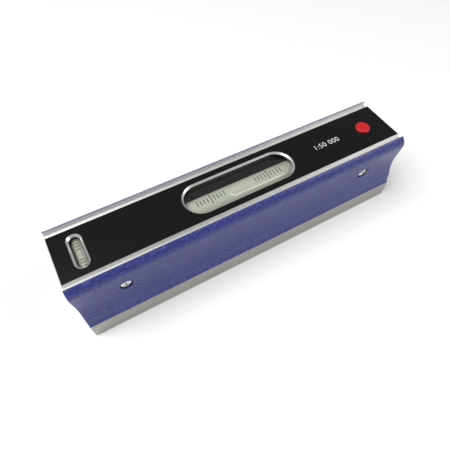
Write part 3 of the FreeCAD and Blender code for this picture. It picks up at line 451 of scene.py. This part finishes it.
def clear_pane(name):
    """A thin clear window, which mirrors more the flatter it is looked along, up to a tenth."""
    finish = Finish(name)
    smear = finish.noise(120, 2)
    mirror = finish.node("BsdfGlossy", None, {"Color": (1, 1, 1, 1), "Roughness": 0.03 + smear * 0.04})
    passing = finish.node("BsdfTransparent", None, {"Color": (0.97, 0.98, 0.97, 1)})
    rise = finish.clamp(finish.node("Fresnel", None, {"IOR": 1.45}), 0, 0.1)
    return finish.done(finish.node("MixShader", None, {0: rise, 1: passing, 2: mirror}))


def red_plastic(colours):
    """Glossy moulded red plastic."""
    finish = Finish("red_plastic")
    flow = finish.noise(700, 2)
    deep = tuple(channel * 0.75 for channel in colours.red)
    base = finish.between(flow, deep, tuple(colours.red))
    normal = finish.bump(flow, 0.02 * MM, 0.3)
    return finish.done(finish.surface(Base_Color=base, Roughness=0.3 + flow * 0.1, Normal=normal, IOR=1.5))


def ink(name, tint, roughness=0.6):
    """Ink or paint of fine marks, a little uneven."""
    finish = Finish(name)
    wear = finish.noise(3000, 2)
    worn = tuple(channel * 0.8 for channel in tint)
    base = finish.between(wear, worn, tint)
    return finish.done(finish.surface(Base_Color=base, Roughness=roughness + wear * 0.1))


# ---------------------------------------------------------------- modelling

def object_mode():
    if bpy.context.object and bpy.context.object.mode != "OBJECT":
        bpy.ops.object.mode_set(mode="OBJECT")


def clear_selection():
    object_mode()
    bpy.ops.object.select_all(action="DESELECT")


def choose(piece):
    """Make one object the only one that is selected."""
    clear_selection()
    piece.select_set(True)
    bpy.context.view_layer.objects.active = piece
    return piece


def fresh(name):
    """Name the object that an operator has just added."""
    piece = bpy.context.object
    piece.name = name
    piece.data.name = name
    return piece


def cube(name, low, high):
    """A box between two corners, with its place in its mesh."""
    clear_selection()
    low, high = Vector(low), Vector(high)
    bpy.ops.mesh.primitive_cube_add(size=1, location=(low + high) / 2, scale=high - low)
    return settle(fresh(name))


def rod(name, start, along, radius, depth, sides=48):
    """A cylinder from a start point along an axis."""
    clear_selection()
    along = Vector(along).normalized()
    turn = along.to_track_quat("Z", "Y").to_euler()
    bpy.ops.mesh.primitive_cylinder_add(vertices=sides, radius=radius, depth=depth, rotation=turn,
                                        location=Vector(start) + along * depth / 2)
    return settle(fresh(name))


def settle(piece):
    """Put an object's place, turn and size into its mesh."""
    choose(piece)
    bpy.ops.object.transform_apply(location=True, rotation=True, scale=True)
    return piece


def pick(piece, kind, test):
    """Go into edit mode with just those faces, edges or vertices selected whose middle passes the test."""
    object_mode()
    bpy.context.view_layer.objects.active = piece
    mesh = piece.data
    for part in (mesh.polygons, mesh.edges, mesh.vertices):
        part.foreach_set("select", [False] * len(part))
    points = [vertex.co for vertex in mesh.vertices]
    if kind == "VERT":
        chosen = [vertex for vertex in mesh.vertices if test(vertex.co)]
    elif kind == "EDGE":
        chosen = [edge for edge in mesh.edges if test(points[edge.vertices[0]], points[edge.vertices[1]])]
    else:
        chosen = [face for face in mesh.polygons if test(face.center, face.normal)]
    for part in chosen:
        part.select = True
    bpy.ops.object.mode_set(mode="EDIT")
    bpy.ops.mesh.select_mode(type=kind)
    return len(chosen)


def finish_edit(piece):
    object_mode()
    return piece


def modified(piece, kind, **settings):
    """Add a modifier and apply it."""
    choose(piece)
    modifier = piece.modifiers.new(kind.title(), kind)
    for name, value in settings.items():
        setattr(modifier, name, value)
    bpy.ops.object.modifier_apply(modifier=modifier.name)
    return piece


def carved(piece, *tools):
    """Cut the tools out of the piece, and delete them."""
    for tool in tools:
        modified(piece, "BOOLEAN", operation="DIFFERENCE", solver="EXACT", object=tool)
        bpy.data.objects.remove(tool)
    return piece


def joined(piece, *others, operation="UNION"):
    for other in others:
        modified(piece, "BOOLEAN", operation=operation, solver="EXACT", object=other)
        bpy.data.objects.remove(other)
    return piece


def copied(piece, name):
    """A copy with a mesh of its own."""
    choose(piece)
    bpy.ops.object.duplicate(linked=False)
    return fresh(name)


def gathered(name, pieces):
    """Join several pieces into one object."""
    clear_selection()
    for piece in pieces:
        piece.select_set(True)
    bpy.context.view_layer.objects.active = pieces[0]
    bpy.ops.object.join()
    return fresh(name)


def smoothed(piece, angle=30):
    choose(piece)
    bpy.ops.object.shade_smooth_by_angle(angle=math.radians(angle))
    return piece


def outward(piece):
    """Merge doubled points and turn every face outwards."""
    pick(piece, "VERT", lambda point: True)
    bpy.ops.mesh.remove_doubles(threshold=0.001 * MM)
    bpy.ops.mesh.normals_make_consistent(inside=False)
    return finish_edit(piece)


def paint(piece, finishes, rule=None):
    """Give the piece its finishes; the rule picks one for each face from its middle and normal."""
    piece.data.materials.clear()
    for material in finishes:
        piece.data.materials.append(material)
    if rule:
        for face in piece.data.polygons:
            face.material_index = rule(face.center, face.normal)


def outline(name, start, steps):
    """A closed flat outline across the level, drawn from a start point (y, z) by lines and arcs.

    A line is given by its end. An arc is given by its centre, its angle and its number of steps.
    """
    clear_selection()
    bpy.ops.mesh.primitive_plane_add(size=MM, location=(0, *start))
    piece = settle(fresh(name))
    pick(piece, "VERT", lambda point: True)
    bpy.ops.mesh.merge(type="CENTER")
    here = Vector(start)
    for step in steps:
        if len(step) == 2:
            there = Vector(step)
            move = {"value": (0, *(there - here))}
            bpy.ops.mesh.extrude_vertices_move(TRANSFORM_OT_translate=move)
            here = there
        else:
            centre, angle, count = Vector(step[0]), step[1], step[2]
            bpy.ops.mesh.spin(steps=count, angle=-angle, center=(0, *centre), axis=(1, 0, 0))
            arm = here - centre
            here = centre + Vector((arm.x * math.cos(angle) - arm.y * math.sin(angle),
                                    arm.x * math.sin(angle) + arm.y * math.cos(angle)))
    bpy.ops.mesh.select_all(action="SELECT")
    bpy.ops.mesh.remove_doubles(threshold=0.01 * MM)
    bpy.ops.mesh.edge_face_add()
    return finish_edit(piece)


def drawn_out(piece, start, end):
    """Extrude a flat outline across the level into a bar from one x to another."""
    pick(piece, "FACE", lambda middle, normal: True)
    bpy.ops.transform.translate(value=(start, 0, 0))
    bpy.ops.mesh.extrude_region_move(TRANSFORM_OT_translate={"value": (end - start, 0, 0)})
    finish_edit(piece)
    return outward(piece)


def slot_plug(name, middle, straight, rings, along_y=False, sides=64):
    """A plug with an oblong section: two half rounds a straight length apart, with rings of (radius, z)."""
    clear_selection()
    middle = Vector((*middle, 0))
    along = Vector((0, 1, 0)) if along_y else Vector((1, 0, 0))
    half = along * straight / 2
    radius, height = rings[0]
    turn = (0, 0, math.pi / sides)
    bpy.ops.mesh.primitive_circle_add(vertices=sides, radius=radius, fill_type="NGON", rotation=turn,
                                      location=(middle.x, middle.y, height))
    piece = settle(fresh(name))
    for side in (1, -1):
        pick(piece, "VERT", lambda point: (point - middle).dot(along) * side > 0)
        bpy.ops.transform.translate(value=half * side)
    finish_edit(piece)
    for upper, top in rings[1:]:
        pick(piece, "FACE", lambda centre, normal: abs(centre.z - height) < 0.001 * MM)
        bpy.ops.mesh.extrude_region_move(TRANSFORM_OT_translate={"value": (0, 0, top - height)})
        height = top
        for side in (1, -1):
            pick(piece, "VERT", lambda point: (point - middle).dot(along) * side > 0
                 and abs(point.z - height) < 0.001 * MM)
            share = upper / radius
            bpy.ops.transform.resize(value=(share, share, 1), center_override=middle + half * side)
        finish_edit(piece)
        radius = upper
    return outward(piece)


# ---------------------------------------------------------------- the casting

def half_section(sizes):
    """The steps round one side of the casting's section, from the groove to the middle of the channel."""
    base = BODY_HIGH.y
    waist = sizes.waist_width / 2
    rise = sizes.waist_height - sizes.sill_height
    flare = sizes.sill_width / 2 - waist
    hollow_radius = (rise ** 2 + flare ** 2) / (2 * flare)
    hollow = Vector((waist + hollow_radius, sizes.waist_height))
    lip = Vector((sizes.lip_width / 2 - sizes.lip_radius, sizes.lip_height))
    apart = (hollow - lip).length
    bearing = math.atan2(lip.y - hollow.y, lip.x - hollow.x)
    tangent = bearing + math.acos((hollow_radius + sizes.lip_radius) / apart)
    sill_bearing = math.atan2(-rise, sizes.sill_width / 2 - hollow.x)
    lip_start = tangent - math.pi
    lip_end = math.acos((sizes.channel_width / 2 - lip.x) / sizes.lip_radius)
    lip_point = lip + Vector((math.cos(lip_start), math.sin(lip_start))) * sizes.lip_radius
    shoulder = (sizes.groove_width - sizes.relief_width) / sizes.groove_width * sizes.groove_root
    hollow_sweep = (tangent - sill_bearing) % math.tau - math.tau
    lip_sweep = (lip_end - lip_start) % math.tau
    return [
        (sizes.relief_width / 2, sizes.relief_top),
        (sizes.relief_width / 2, shoulder),
        (sizes.groove_width / 2, 0),
        (base, 0),
        (base, sizes.band_height),
        (sizes.foot_width / 2, sizes.foot_height),
        (sizes.sill_width / 2, sizes.sill_height),
        (tuple(hollow), hollow_sweep, 24),
        tuple(lip_point),
        (tuple(lip), lip_sweep, 28),
        (sizes.channel_width / 2, sizes.ledge_height),
        (0, sizes.ledge_height),
    ]


def casting(sizes, finishes):
    """The iron body, with softened edges, its pocket, its screw seats and its groove."""
    section = outline("level_casting", (0, sizes.relief_top), half_section(sizes))
    bar = drawn_out(section, BODY_LOW.x, BODY_HIGH.x)
    pick(bar, "FACE", lambda middle, normal: abs(normal.y) > 0.9 and abs(middle.y) < NEAR)
    bpy.ops.mesh.delete(type="FACE")
    finish_edit(bar)
    modified(bar, "MIRROR", use_axis=(False, True, False), use_clip=True, merge_threshold=NEAR)
    outward(bar)
    modified(bar, "BEVEL", width=sizes.softening, segments=3, limit_method="ANGLE",
             angle_limit=math.radians(28))
    tools = [cube("pocket", (-sizes.pocket_length / 2, -sizes.pocket_width / 2, sizes.pocket_floor),
                  (sizes.pocket_length / 2, sizes.pocket_width / 2, BODY_HIGH.z + MM))]
    for x in (-sizes.screw_offset, sizes.screw_offset):
        tools.append(rod("shank_hole", (x, -BODY_HIGH.y, sizes.screw_height), (0, 1, 0), sizes.shank_hole,
                         BODY_HIGH.y * 2))
        for side in (-1, 1):
            tools.append(rod("screw_seat", (x, sizes.seat_offset * side, sizes.screw_height), (0, side, 0),
                             sizes.seat_radius, BODY_HIGH.y - sizes.seat_offset))
    carved(bar, *tools)

    def rule(middle, normal):
        """Ground ends and base, milled channel and screw seats, and enamel on all the rest."""
        inside = sizes.channel_width / 2 + 0.02 * MM
        beside_channel = abs(middle.y) < inside and sizes.pocket_floor < middle.z and abs(normal.x) < 0.8
        if abs(normal.x) > 0.8 or middle.z < sizes.band_height - 0.05 * MM:
            return 1
        in_seat = any((middle - Vector((x, middle.y, sizes.screw_height))).length < sizes.seat_radius * 1.02
                      for x in (-sizes.screw_offset, sizes.screw_offset))
        seat_floor = in_seat and abs(normal.y) > 0.9 and abs(middle.y) < sizes.seat_offset + 0.1 * MM
        if beside_channel or seat_floor:
            return 2
        return 0

    paint(bar, [finishes["enamel"], finishes["iron"], finishes["ledge"]], rule)
    return smoothed(bar, 26)


class LEVEL_OT_casting(bpy.types.Operator):
    """Build the iron body with its enamelled flanks and ground faces"""

    bl_idname = "level.casting"
    bl_label = "Casting"

    def execute(self, context):
        colours = context.scene.level_colours
        finishes = {"enamel": hammered_enamel(colours), "iron": ground_iron(colours),
                    "ledge": milled_iron(colours)}
        body = casting(context.scene.level_body, finishes)
        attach(body, "housing")
        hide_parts("level_body")
        return {"FINISHED"}


# ---------------------------------------------------------------- the cover

def cover(sizes, finishes):
    """The black cover with its two cheeks and three openings."""
    bottom = COVER_TOP - sizes.thickness
    top = cube("black_cover", (COVER_LOW.x, COVER_LOW.y, bottom), (COVER_HIGH.x, COVER_HIGH.y, COVER_TOP))
    pick(top, "EDGE", lambda one, two: one.x == two.x and min(one.z, two.z) > COVER_TOP - NEAR)
    bpy.ops.mesh.bevel(offset=sizes.end_bevel, offset_type="OFFSET", segments=1, affect="EDGES")
    finish_edit(top)
    for side in (1, -1):
        near, far = sorted((sizes.cheek_gap / 2 * side, (sizes.cheek_gap / 2 + sizes.cheek_thickness) * side))
        cheek = cube("cheek", (-sizes.cheek_length / 2, near, COVER_LOW.z),
                     (sizes.cheek_length / 2, far, bottom + sizes.thickness / 2))
        joined(top, cheek)
    below = bottom - MM
    above = COVER_TOP + MM
    wide = sizes.window_width / 2
    narrow = wide - sizes.window_rim
    main = slot_plug("main_window_cut", (0, 0), sizes.window_length - sizes.window_width,
                     ((narrow, below), (narrow, COVER_TOP - sizes.window_rim), (wide, COVER_TOP),
                      (wide, above)), sides=96)
    cross_wide = sizes.cross_width / 2
    cross_narrow = cross_wide - sizes.cross_rim
    cross = slot_plug("cross_window_cut", (CROSS_MIDDLE.x, 0), sizes.cross_length - sizes.cross_width,
                      ((cross_narrow, below), (cross_narrow, COVER_TOP - sizes.cross_rim),
                       (cross_wide, COVER_TOP), (cross_wide, above)), along_y=True)
    hole = rod("cap_hole_cut", (CAP_MIDDLE.x, 0, below), (0, 0, 1), sizes.cap_hole, above - below, 64)
    carved(top, main, cross, hole)
    screws = [rod("screw_hole", (x, -BODY_HIGH.y, SCREWS_MIDDLE.z), (0, 1, 0), sizes.shank_hole,
                  BODY_HIGH.y * 2) for x in (SCREWS_LOW.x + HEAD_RADIUS, SCREWS_HIGH.x - HEAD_RADIUS)]
    carved(top, *screws)

    def rule(middle, normal):
        """Bare metal on the bevels and on the long edges, and black on all the rest."""
        bevel = 0.3 < normal.z < 0.95
        edge = abs(normal.y) > 0.9 and abs(middle.y) > COVER_HIGH.y - NEAR
        return 1 if middle.z > bottom and (bevel or edge) else 0

    paint(top, [finishes["black"], finishes["rim"]], rule)
    return smoothed(top, 30)


class LEVEL_OT_cover(bpy.types.Operator):
    """Build the black cover with its bright window rims"""

    bl_idname = "level.cover"
    bl_label = "Cover"

    def execute(self, context):
        colours = context.scene.level_colours
        finishes = {"black": black_anodised(colours), "rim": cut_aluminium(colours)}
        top = cover(context.scene.level_cover, finishes)
        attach(top, "housing")
        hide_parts("top_cover")
        return {"FINISHED"}


class LEVEL_OT_figures(bpy.types.Operator):
    """Print the plain figures of the vial's scale on the cover"""

    bl_idname = "level.figures"
    bl_label = "Figures"

    figures: StringProperty(name="Figures", description="Figures of the scale", default="1:50 000")

    def execute(self, context):
        sizes = context.scene.level_cover
        clear_selection()
        bpy.ops.object.text_add(location=(sizes.figure_place, 0, COVER_TOP))
        text = fresh("scale_figures")
        text.data.body = self.figures
        text.data.size = sizes.figure_height * 1.4
        text.data.align_x = "CENTER"
        text.data.align_y = "CENTER"
        text.data.offset = -0.02 * MM
        text.data.space_character = 1.06
        text.data.extrude = 0.01 * MM
        bpy.ops.object.convert(target="MESH")
        settle(text)
        outward(text)
        paint(text, [ink("white_print", tuple(context.scene.level_colours.print))])
        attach(text, "housing")
        return {"FINISHED"}


class LEVEL_OT_cap(bpy.types.Operator):
    """Build the red cap, with a rounded edge and a shallow dish in its top"""

    bl_idname = "level.cap"
    bl_label = "Cap"

    def execute(self, context):
        radius = (CAP_HIGH.x - CAP_LOW.x) / 2
        sizes = context.scene.level_cover
        stem = sizes.cap_hole - sizes.cap_play
        cap = rod("red_cap", (CAP_MIDDLE.x, 0, CAP_LOW.z), (0, 0, 1), stem, COVER_TOP - CAP_LOW.z, 64)
        middle = Vector((CAP_MIDDLE.x, 0, 0))
        crown = CAP_HIGH.z - COVER_TOP
        # Each ring's rise over the last as a share of the crown, and its radius as a share of the cap's
        rings = ((0, 1), (0.45, 1), (0.3, 0.97), (0.17, 0.9), (0.08, 0.8), (-0.06, 0.7), (-0.1, 0.56),
                 (-0.02, 0.3))
        pick(cap, "FACE", lambda centre, normal: normal.z > 0.9)
        before = stem
        for rise, share in rings:
            width = radius * share
            bpy.ops.mesh.extrude_region_move(TRANSFORM_OT_translate={"value": (0, 0, crown * rise)})
            bpy.ops.transform.resize(value=(width / before, width / before, 1), center_override=middle)
            before = width
        finish_edit(cap)
        outward(cap)
        paint(cap, [red_plastic(context.scene.level_colours)])
        smoothed(cap, 40)
        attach(cap, "cap")
        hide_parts("adjuster_cap")
        return {"FINISHED"}


# ---------------------------------------------------------------- the side screws

class LEVEL_OT_screws(bpy.types.Operator):
    """Build the four cross-head screws in the flanks"""

    bl_idname = "level.screws"
    bl_label = "Side screws"

    def execute(self, context):
        sizes = context.scene.level_body
        steel = polished_steel("plated_steel", (0.86, 0.85, 0.8))
        model = self.screw(sizes)
        copies = [model]
        for side in (1, -1):
            for end in (1, -1):
                if (side, end) != (1, 1):
                    twin = copied(model, "side_screw_twin")
                    choose(twin)
                    twin.scale = (end, side, 1)
                    settle(twin)
                    outward(twin)
                    copies.append(twin)
        screws = gathered("flank_screws", copies)
        paint(screws, [steel])
        smoothed(screws, 35)
        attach(screws, "housing")
        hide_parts("side_screws")
        return {"FINISHED"}

    def screw(self, sizes):
        """One screw, with a domed head and a tapered cross."""
        seat = sizes.seat_offset
        centre = Vector((sizes.screw_offset, seat, sizes.screw_height))
        tip = centre - Vector((0, sizes.shank_length, 0))
        screw = rod("side_screw", tip, (0, 1, 0), sizes.shank_radius, sizes.shank_length, 48)
        height = SCREWS_HIGH.y - seat
        radius = HEAD_RADIUS
        # Each ring's radius, and its height as a share of the head's
        widths = ((radius, 0), (radius, 0.62), (radius * 0.94, 0.76), (radius * 0.8, 0.9),
                  (radius * 0.55, 0.98), (radius * 0.3, 1))
        pick(screw, "FACE", lambda middle, normal: normal.y > 0.9)
        before, level = sizes.shank_radius, 0
        for width, share in widths:
            rise = (share - level) * height
            bpy.ops.mesh.extrude_region_move(TRANSFORM_OT_translate={"value": (0, rise, 0)})
            bpy.ops.transform.resize(value=(width / before, 1, width / before), center_override=centre)
            before, level = width, share
        finish_edit(screw)
        outward(screw)
        span, blade_width = sizes.cross_span / 2, sizes.cross_blade / 2
        above = 0.2 * MM
        for turn in (0, math.pi / 2):
            blade = cube("cross_blade", centre + Vector((-span, height - sizes.cross_depth, -blade_width)),
                         centre + Vector((span, height + above, blade_width)))
            pick(blade, "FACE", lambda middle, normal: normal.y < -0.9)
            bpy.ops.transform.resize(value=(0.45, 1, 0.7), center_override=centre)
            bpy.ops.mesh.select_all(action="SELECT")
            if turn:
                bpy.ops.transform.rotate(value=turn, orient_axis="Y", center_override=centre)
            finish_edit(blade)
            carved(screw, blade)
        return screw


# ---------------------------------------------------------------- the vials

def filled_vial(name, middle, radius, wall, length, bubble, place=0, along_y=False):
    """A filled vial as one body, with rounded ends and the bubble as a hollow inside it."""
    along = Vector((0, 1, 0)) if along_y else Vector((1, 0, 0))
    body = rod(name, middle - along * length / 2, along, radius, length, 96)
    pick(body, "EDGE", lambda one, two: abs((one - middle).dot(along)) > length / 2 - NEAR
         and abs((one - two).dot(along)) < NEAR)
    bpy.ops.mesh.bevel(offset=wall * 0.8, segments=4, affect="EDGES")
    finish_edit(body)
    bubble_length, bubble_width, bubble_depth = bubble
    bore = radius - wall
    floor = middle.z + bore - bubble_depth
    hollow = slot_plug("bubble", (middle + along * place).xy, bubble_length - bubble_width,
                       ((bubble_width / 2 - bubble_depth * 0.35, floor),
                        (bubble_width / 2, floor + bubble_depth * 0.3),
                        (bubble_width / 2, middle.z + radius)), along_y)
    core = rod("bore", middle - along * length / 2, along, bore, length, 96)
    joined(hollow, core, operation="INTERSECT")
    modified(hollow, "BEVEL", width=bubble_depth * 0.12, segments=2, limit_method="ANGLE",
             angle_limit=math.radians(35))
    carved(body, hollow)
    return smoothed(body, 30)


def ring_mark(x, length, width, radius, height):
    """A thin painted mark that lies round the top of a vial along X."""
    angle = length / radius
    clear_selection()
    bpy.ops.mesh.primitive_plane_add(size=MM, location=(x - width / 2, 0, height + radius))
    mark = settle(fresh("mark"))
    pick(mark, "VERT", lambda point: True)
    bpy.ops.mesh.merge(type="CENTER")
    bpy.ops.transform.rotate(value=angle / 2, orient_axis="X", center_override=(x, 0, height))
    bpy.ops.mesh.spin(steps=10, angle=-angle, center=(x, 0, height), axis=(1, 0, 0))
    bpy.ops.mesh.select_all(action="SELECT")
    bpy.ops.mesh.extrude_edges_move(TRANSFORM_OT_translate={"value": (width, 0, 0)})
    finish_edit(mark)
    outward(mark)
    modified(mark, "SOLIDIFY", thickness=0.04 * MM, offset=0)
    return mark


class LEVEL_OT_main_vial(bpy.types.Operator):
    """Build the main vial with its bubble and its two groups of marks"""

    bl_idname = "level.main_vial"
    bl_label = "Main vial"

    def execute(self, context):
        sizes = context.scene.level_vials
        colours = context.scene.level_colours
        middle = Vector((0, 0, VIAL_HEIGHT))
        bubble = (sizes.bubble_length, sizes.bubble_width, sizes.bubble_depth)
        radius = VIAL_RADIUS + sizes.contact
        glass = filled_vial("main_vial_filled", middle, radius, sizes.wall, VIAL_HIGH.x - VIAL_LOW.x, bubble,
                            sizes.bubble_place)
        place = (sizes.bubble_place, 0, VIAL_HEIGHT)
        paint(glass, [filled_glass("filled_glass", colours, bubble, place)])
        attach(glass, "main_vial")
        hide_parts("main_vial_glass", "main_vial_spirit")
        marks = []
        for group in (-1, 1):
            for number in range(-sizes.marks_each_side, sizes.marks_each_side + 1):
                span = sizes.short_mark if number else sizes.long_mark
                x = sizes.mark_middle * group + sizes.mark_pitch * number
                marks.append(ring_mark(x, span, sizes.mark_width, radius + sizes.contact, VIAL_HEIGHT))
        scale = gathered("main_vial_marks", marks)
        outward(scale)
        paint(scale, [ink("mark_ink", tuple(colours.ink))])
        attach(scale, "main_vial")
        return {"FINISHED"}


class LEVEL_OT_cross_vial(bpy.types.Operator):
    """Build the cross vial with its bubble and marks"""

    bl_idname = "level.cross_vial"
    bl_label = "Cross vial"

    def execute(self, context):
        sizes = context.scene.level_vials
        colours = context.scene.level_colours
        bubble = (sizes.cross_bubble_length, sizes.cross_bubble_width, sizes.cross_bubble_depth)
        glass = filled_vial("cross_vial_filled", CROSS_MIDDLE, CROSS_RADIUS + sizes.contact, sizes.cross_wall,
                            CROSS_HIGH.y - CROSS_LOW.y, bubble, along_y=True)
        paint(glass, [filled_glass("filled_cross_glass", colours, bubble, CROSS_MIDDLE, along_y=True)])
        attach(glass, "housing")
        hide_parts("cross_vial_glass", "cross_vial_spirit")
        marks = []
        for side in (-1, 1):
            for number in range(sizes.cross_marks):
                y = (sizes.cross_mark_start + sizes.cross_mark_pitch * number) * side
                mark = ring_mark(0, sizes.cross_mark_length, sizes.cross_mark_width,
                                 CROSS_RADIUS + sizes.contact * 2, 0)
                mark.rotation_euler.z = math.pi / 2
                mark.location = (CROSS_MIDDLE.x, y, CROSS_MIDDLE.z)
                marks.append(settle(mark))
        scale = gathered("cross_vial_marks", marks)
        outward(scale)
        paint(scale, [ink("cross_mark_ink", tuple(colours.ink))])
        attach(scale, "housing")
        return {"FINISHED"}


# ---------------------------------------------------------------- the other pieces

class LEVEL_OT_mechanism(bpy.types.Operator):
    """Give the panes and the pieces inside their finishes"""

    bl_idname = "level.mechanism"
    bl_label = "Mechanism"

    def execute(self, context):
        colours = context.scene.level_colours
        pane = clear_pane("clear_pane")
        aluminium = satin_metal("machined_aluminium", (0.55, 0.55, 0.56))
        steel = satin_metal("hard_steel", (0.4, 0.4, 0.41))
        brass = satin_metal("yellow_brass", (0.72, 0.5, 0.2))
        blackened = satin_metal("blackened_brass", (0.02, 0.02, 0.02), 0.2, 0.4)
        plated = polished_steel("plated_small_screws", (0.7, 0.7, 0.68))
        plaster = white_plaster(colours)
        ends = ink("glass_ends", (0.55, 0.57, 0.5), 0.3)
        finishes = {
            "main_window": pane, "cross_window": pane,
            "pivot_block": aluminium, "adjuster_block": aluminium, "cross_vial_holder": aluminium,
            "pivot_end": aluminium, "adjuster_end": aluminium,
            "pivot_pin": steel, "adjuster_spring": steel, "adjusting_screw": steel, "adjuster_clip": steel,
            "adjuster_nut": brass, "vial_tube": blackened, "cross_vial_screws": plated,
            "vial_bedding": plaster, "cross_vial_bedding": plaster,
            "main_vial_ends": ends, "cross_vial_ends": ends,
        }
        for name, material in finishes.items():
            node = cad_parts[name]
            node.data.materials.clear()
            node.data.materials.append(material)
        return {"FINISHED"}


# ---------------------------------------------------------------- the stage

class LEVEL_OT_stage(bpy.types.Operator):
    """Set up the floor, the lights and the camera"""

    bl_idname = "level.stage"
    bl_label = "Stage"

    def execute(self, context):
        self.floor()
        self.camera(context.scene)
        self.lights(context.scene)
        context.scene.view_settings.view_transform = "Standard"
        return {"FINISHED"}

    def floor(self):
        clear_selection()
        radius = 1.5
        below = 0.02 * MM
        bpy.ops.mesh.primitive_circle_add(vertices=64, radius=radius, fill_type="NGON",
                                          location=(0, 0, -below))
        floor = settle(fresh("floor"))
        finish = Finish("pale_floor")
        paint(floor, [finish.done(finish.surface(Base_Color=(0.95, 0.95, 0.95, 1), Roughness=0.8))])

    def camera(self, scene):
        sizes = scene.level_stage
        clear_selection()
        bpy.ops.object.camera_add(location=sizes.eye)
        camera = bpy.context.object
        line = Vector(sizes.aim) - Vector(sizes.eye)
        camera.rotation_mode = "QUATERNION"
        camera.rotation_quaternion = line.to_track_quat("-Z", "Y")
        camera.rotation_mode = "XYZ"
        camera.rotation_euler.rotate_axis("Z", -sizes.roll)
        camera.data.lens = sizes.lens
        camera.data.sensor_width = 36
        camera.data.shift_x = sizes.shift_right
        camera.data.shift_y = sizes.shift_up
        camera.data.clip_start = 1 * MM
        scene.camera = camera

    def lights(self, scene):
        self.softbox("left_light", place=(-0.5, 0.1, 1), size=0.8, power=12)
        self.softbox("right_light", place=(0.95, -0.45, 0.85), size=0.6, power=7)
        world = bpy.data.worlds.new("studio")
        world.use_nodes = True
        background = world.node_tree.nodes["Background"]
        background.inputs["Color"].default_value = (1, 1, 1, 1)
        background.inputs["Strength"].default_value = 0.2
        scene.world = world

    def softbox(self, name, place, size, power):
        """A square light that faces the middle of the base, with its power in watts."""
        clear_selection()
        bpy.ops.object.light_add(type="AREA", location=place)
        lamp = bpy.context.object
        lamp.name = name
        lamp.rotation_euler = (-Vector(place)).to_track_quat("-Z", "Y").to_euler()
        lamp.data.shape = "SQUARE"
        lamp.data.size = size
        lamp.data.energy = power


class LEVEL_PT_sidebar(bpy.types.Panel):
    """Lists the pieces and their sizes in the sidebar"""

    bl_idname = "LEVEL_PT_sidebar"
    bl_label = "Bar level"
    bl_space_type = "VIEW_3D"
    bl_region_type = "UI"
    bl_category = "Level"

    def draw(self, context):
        scene = context.scene
        for operator in OPERATORS:
            self.layout.operator(operator.bl_idname)
        for name in GROUPS:
            box = self.layout.box()
            group = getattr(scene, name)
            for key in group.__annotations__:
                box.prop(group, key)


OPERATORS = (LEVEL_OT_casting, LEVEL_OT_cover, LEVEL_OT_figures, LEVEL_OT_cap, LEVEL_OT_screws,
             LEVEL_OT_main_vial, LEVEL_OT_cross_vial, LEVEL_OT_mechanism, LEVEL_OT_stage)
GROUPS = {"level_body": BodySizes, "level_cover": CoverSizes, "level_vials": VialSizes,
          "level_colours": Colours, "level_stage": StageSizes}


def register():
    for group in GROUPS.values():
        bpy.utils.register_class(group)
    for operator in (*OPERATORS, LEVEL_PT_sidebar):
        bpy.utils.register_class(operator)
    for name, group in GROUPS.items():
        setattr(bpy.types.Scene, name, PointerProperty(type=group))


def unregister():
    for name in GROUPS:
        delattr(bpy.types.Scene, name)
    for kind in (LEVEL_PT_sidebar, *reversed(OPERATORS), *GROUPS.values()):
        bpy.utils.unregister_class(kind)


def main():
    register()
    bpy.ops.level.casting()
    bpy.ops.level.cover()
    bpy.ops.level.figures()
    bpy.ops.level.cap()
    bpy.ops.level.screws()
    bpy.ops.level.main_vial()
    bpy.ops.level.cross_vial()
    bpy.ops.level.mechanism()
    bpy.ops.level.stage()
    clear_selection()
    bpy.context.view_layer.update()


if __name__ == "__main__":
    main()
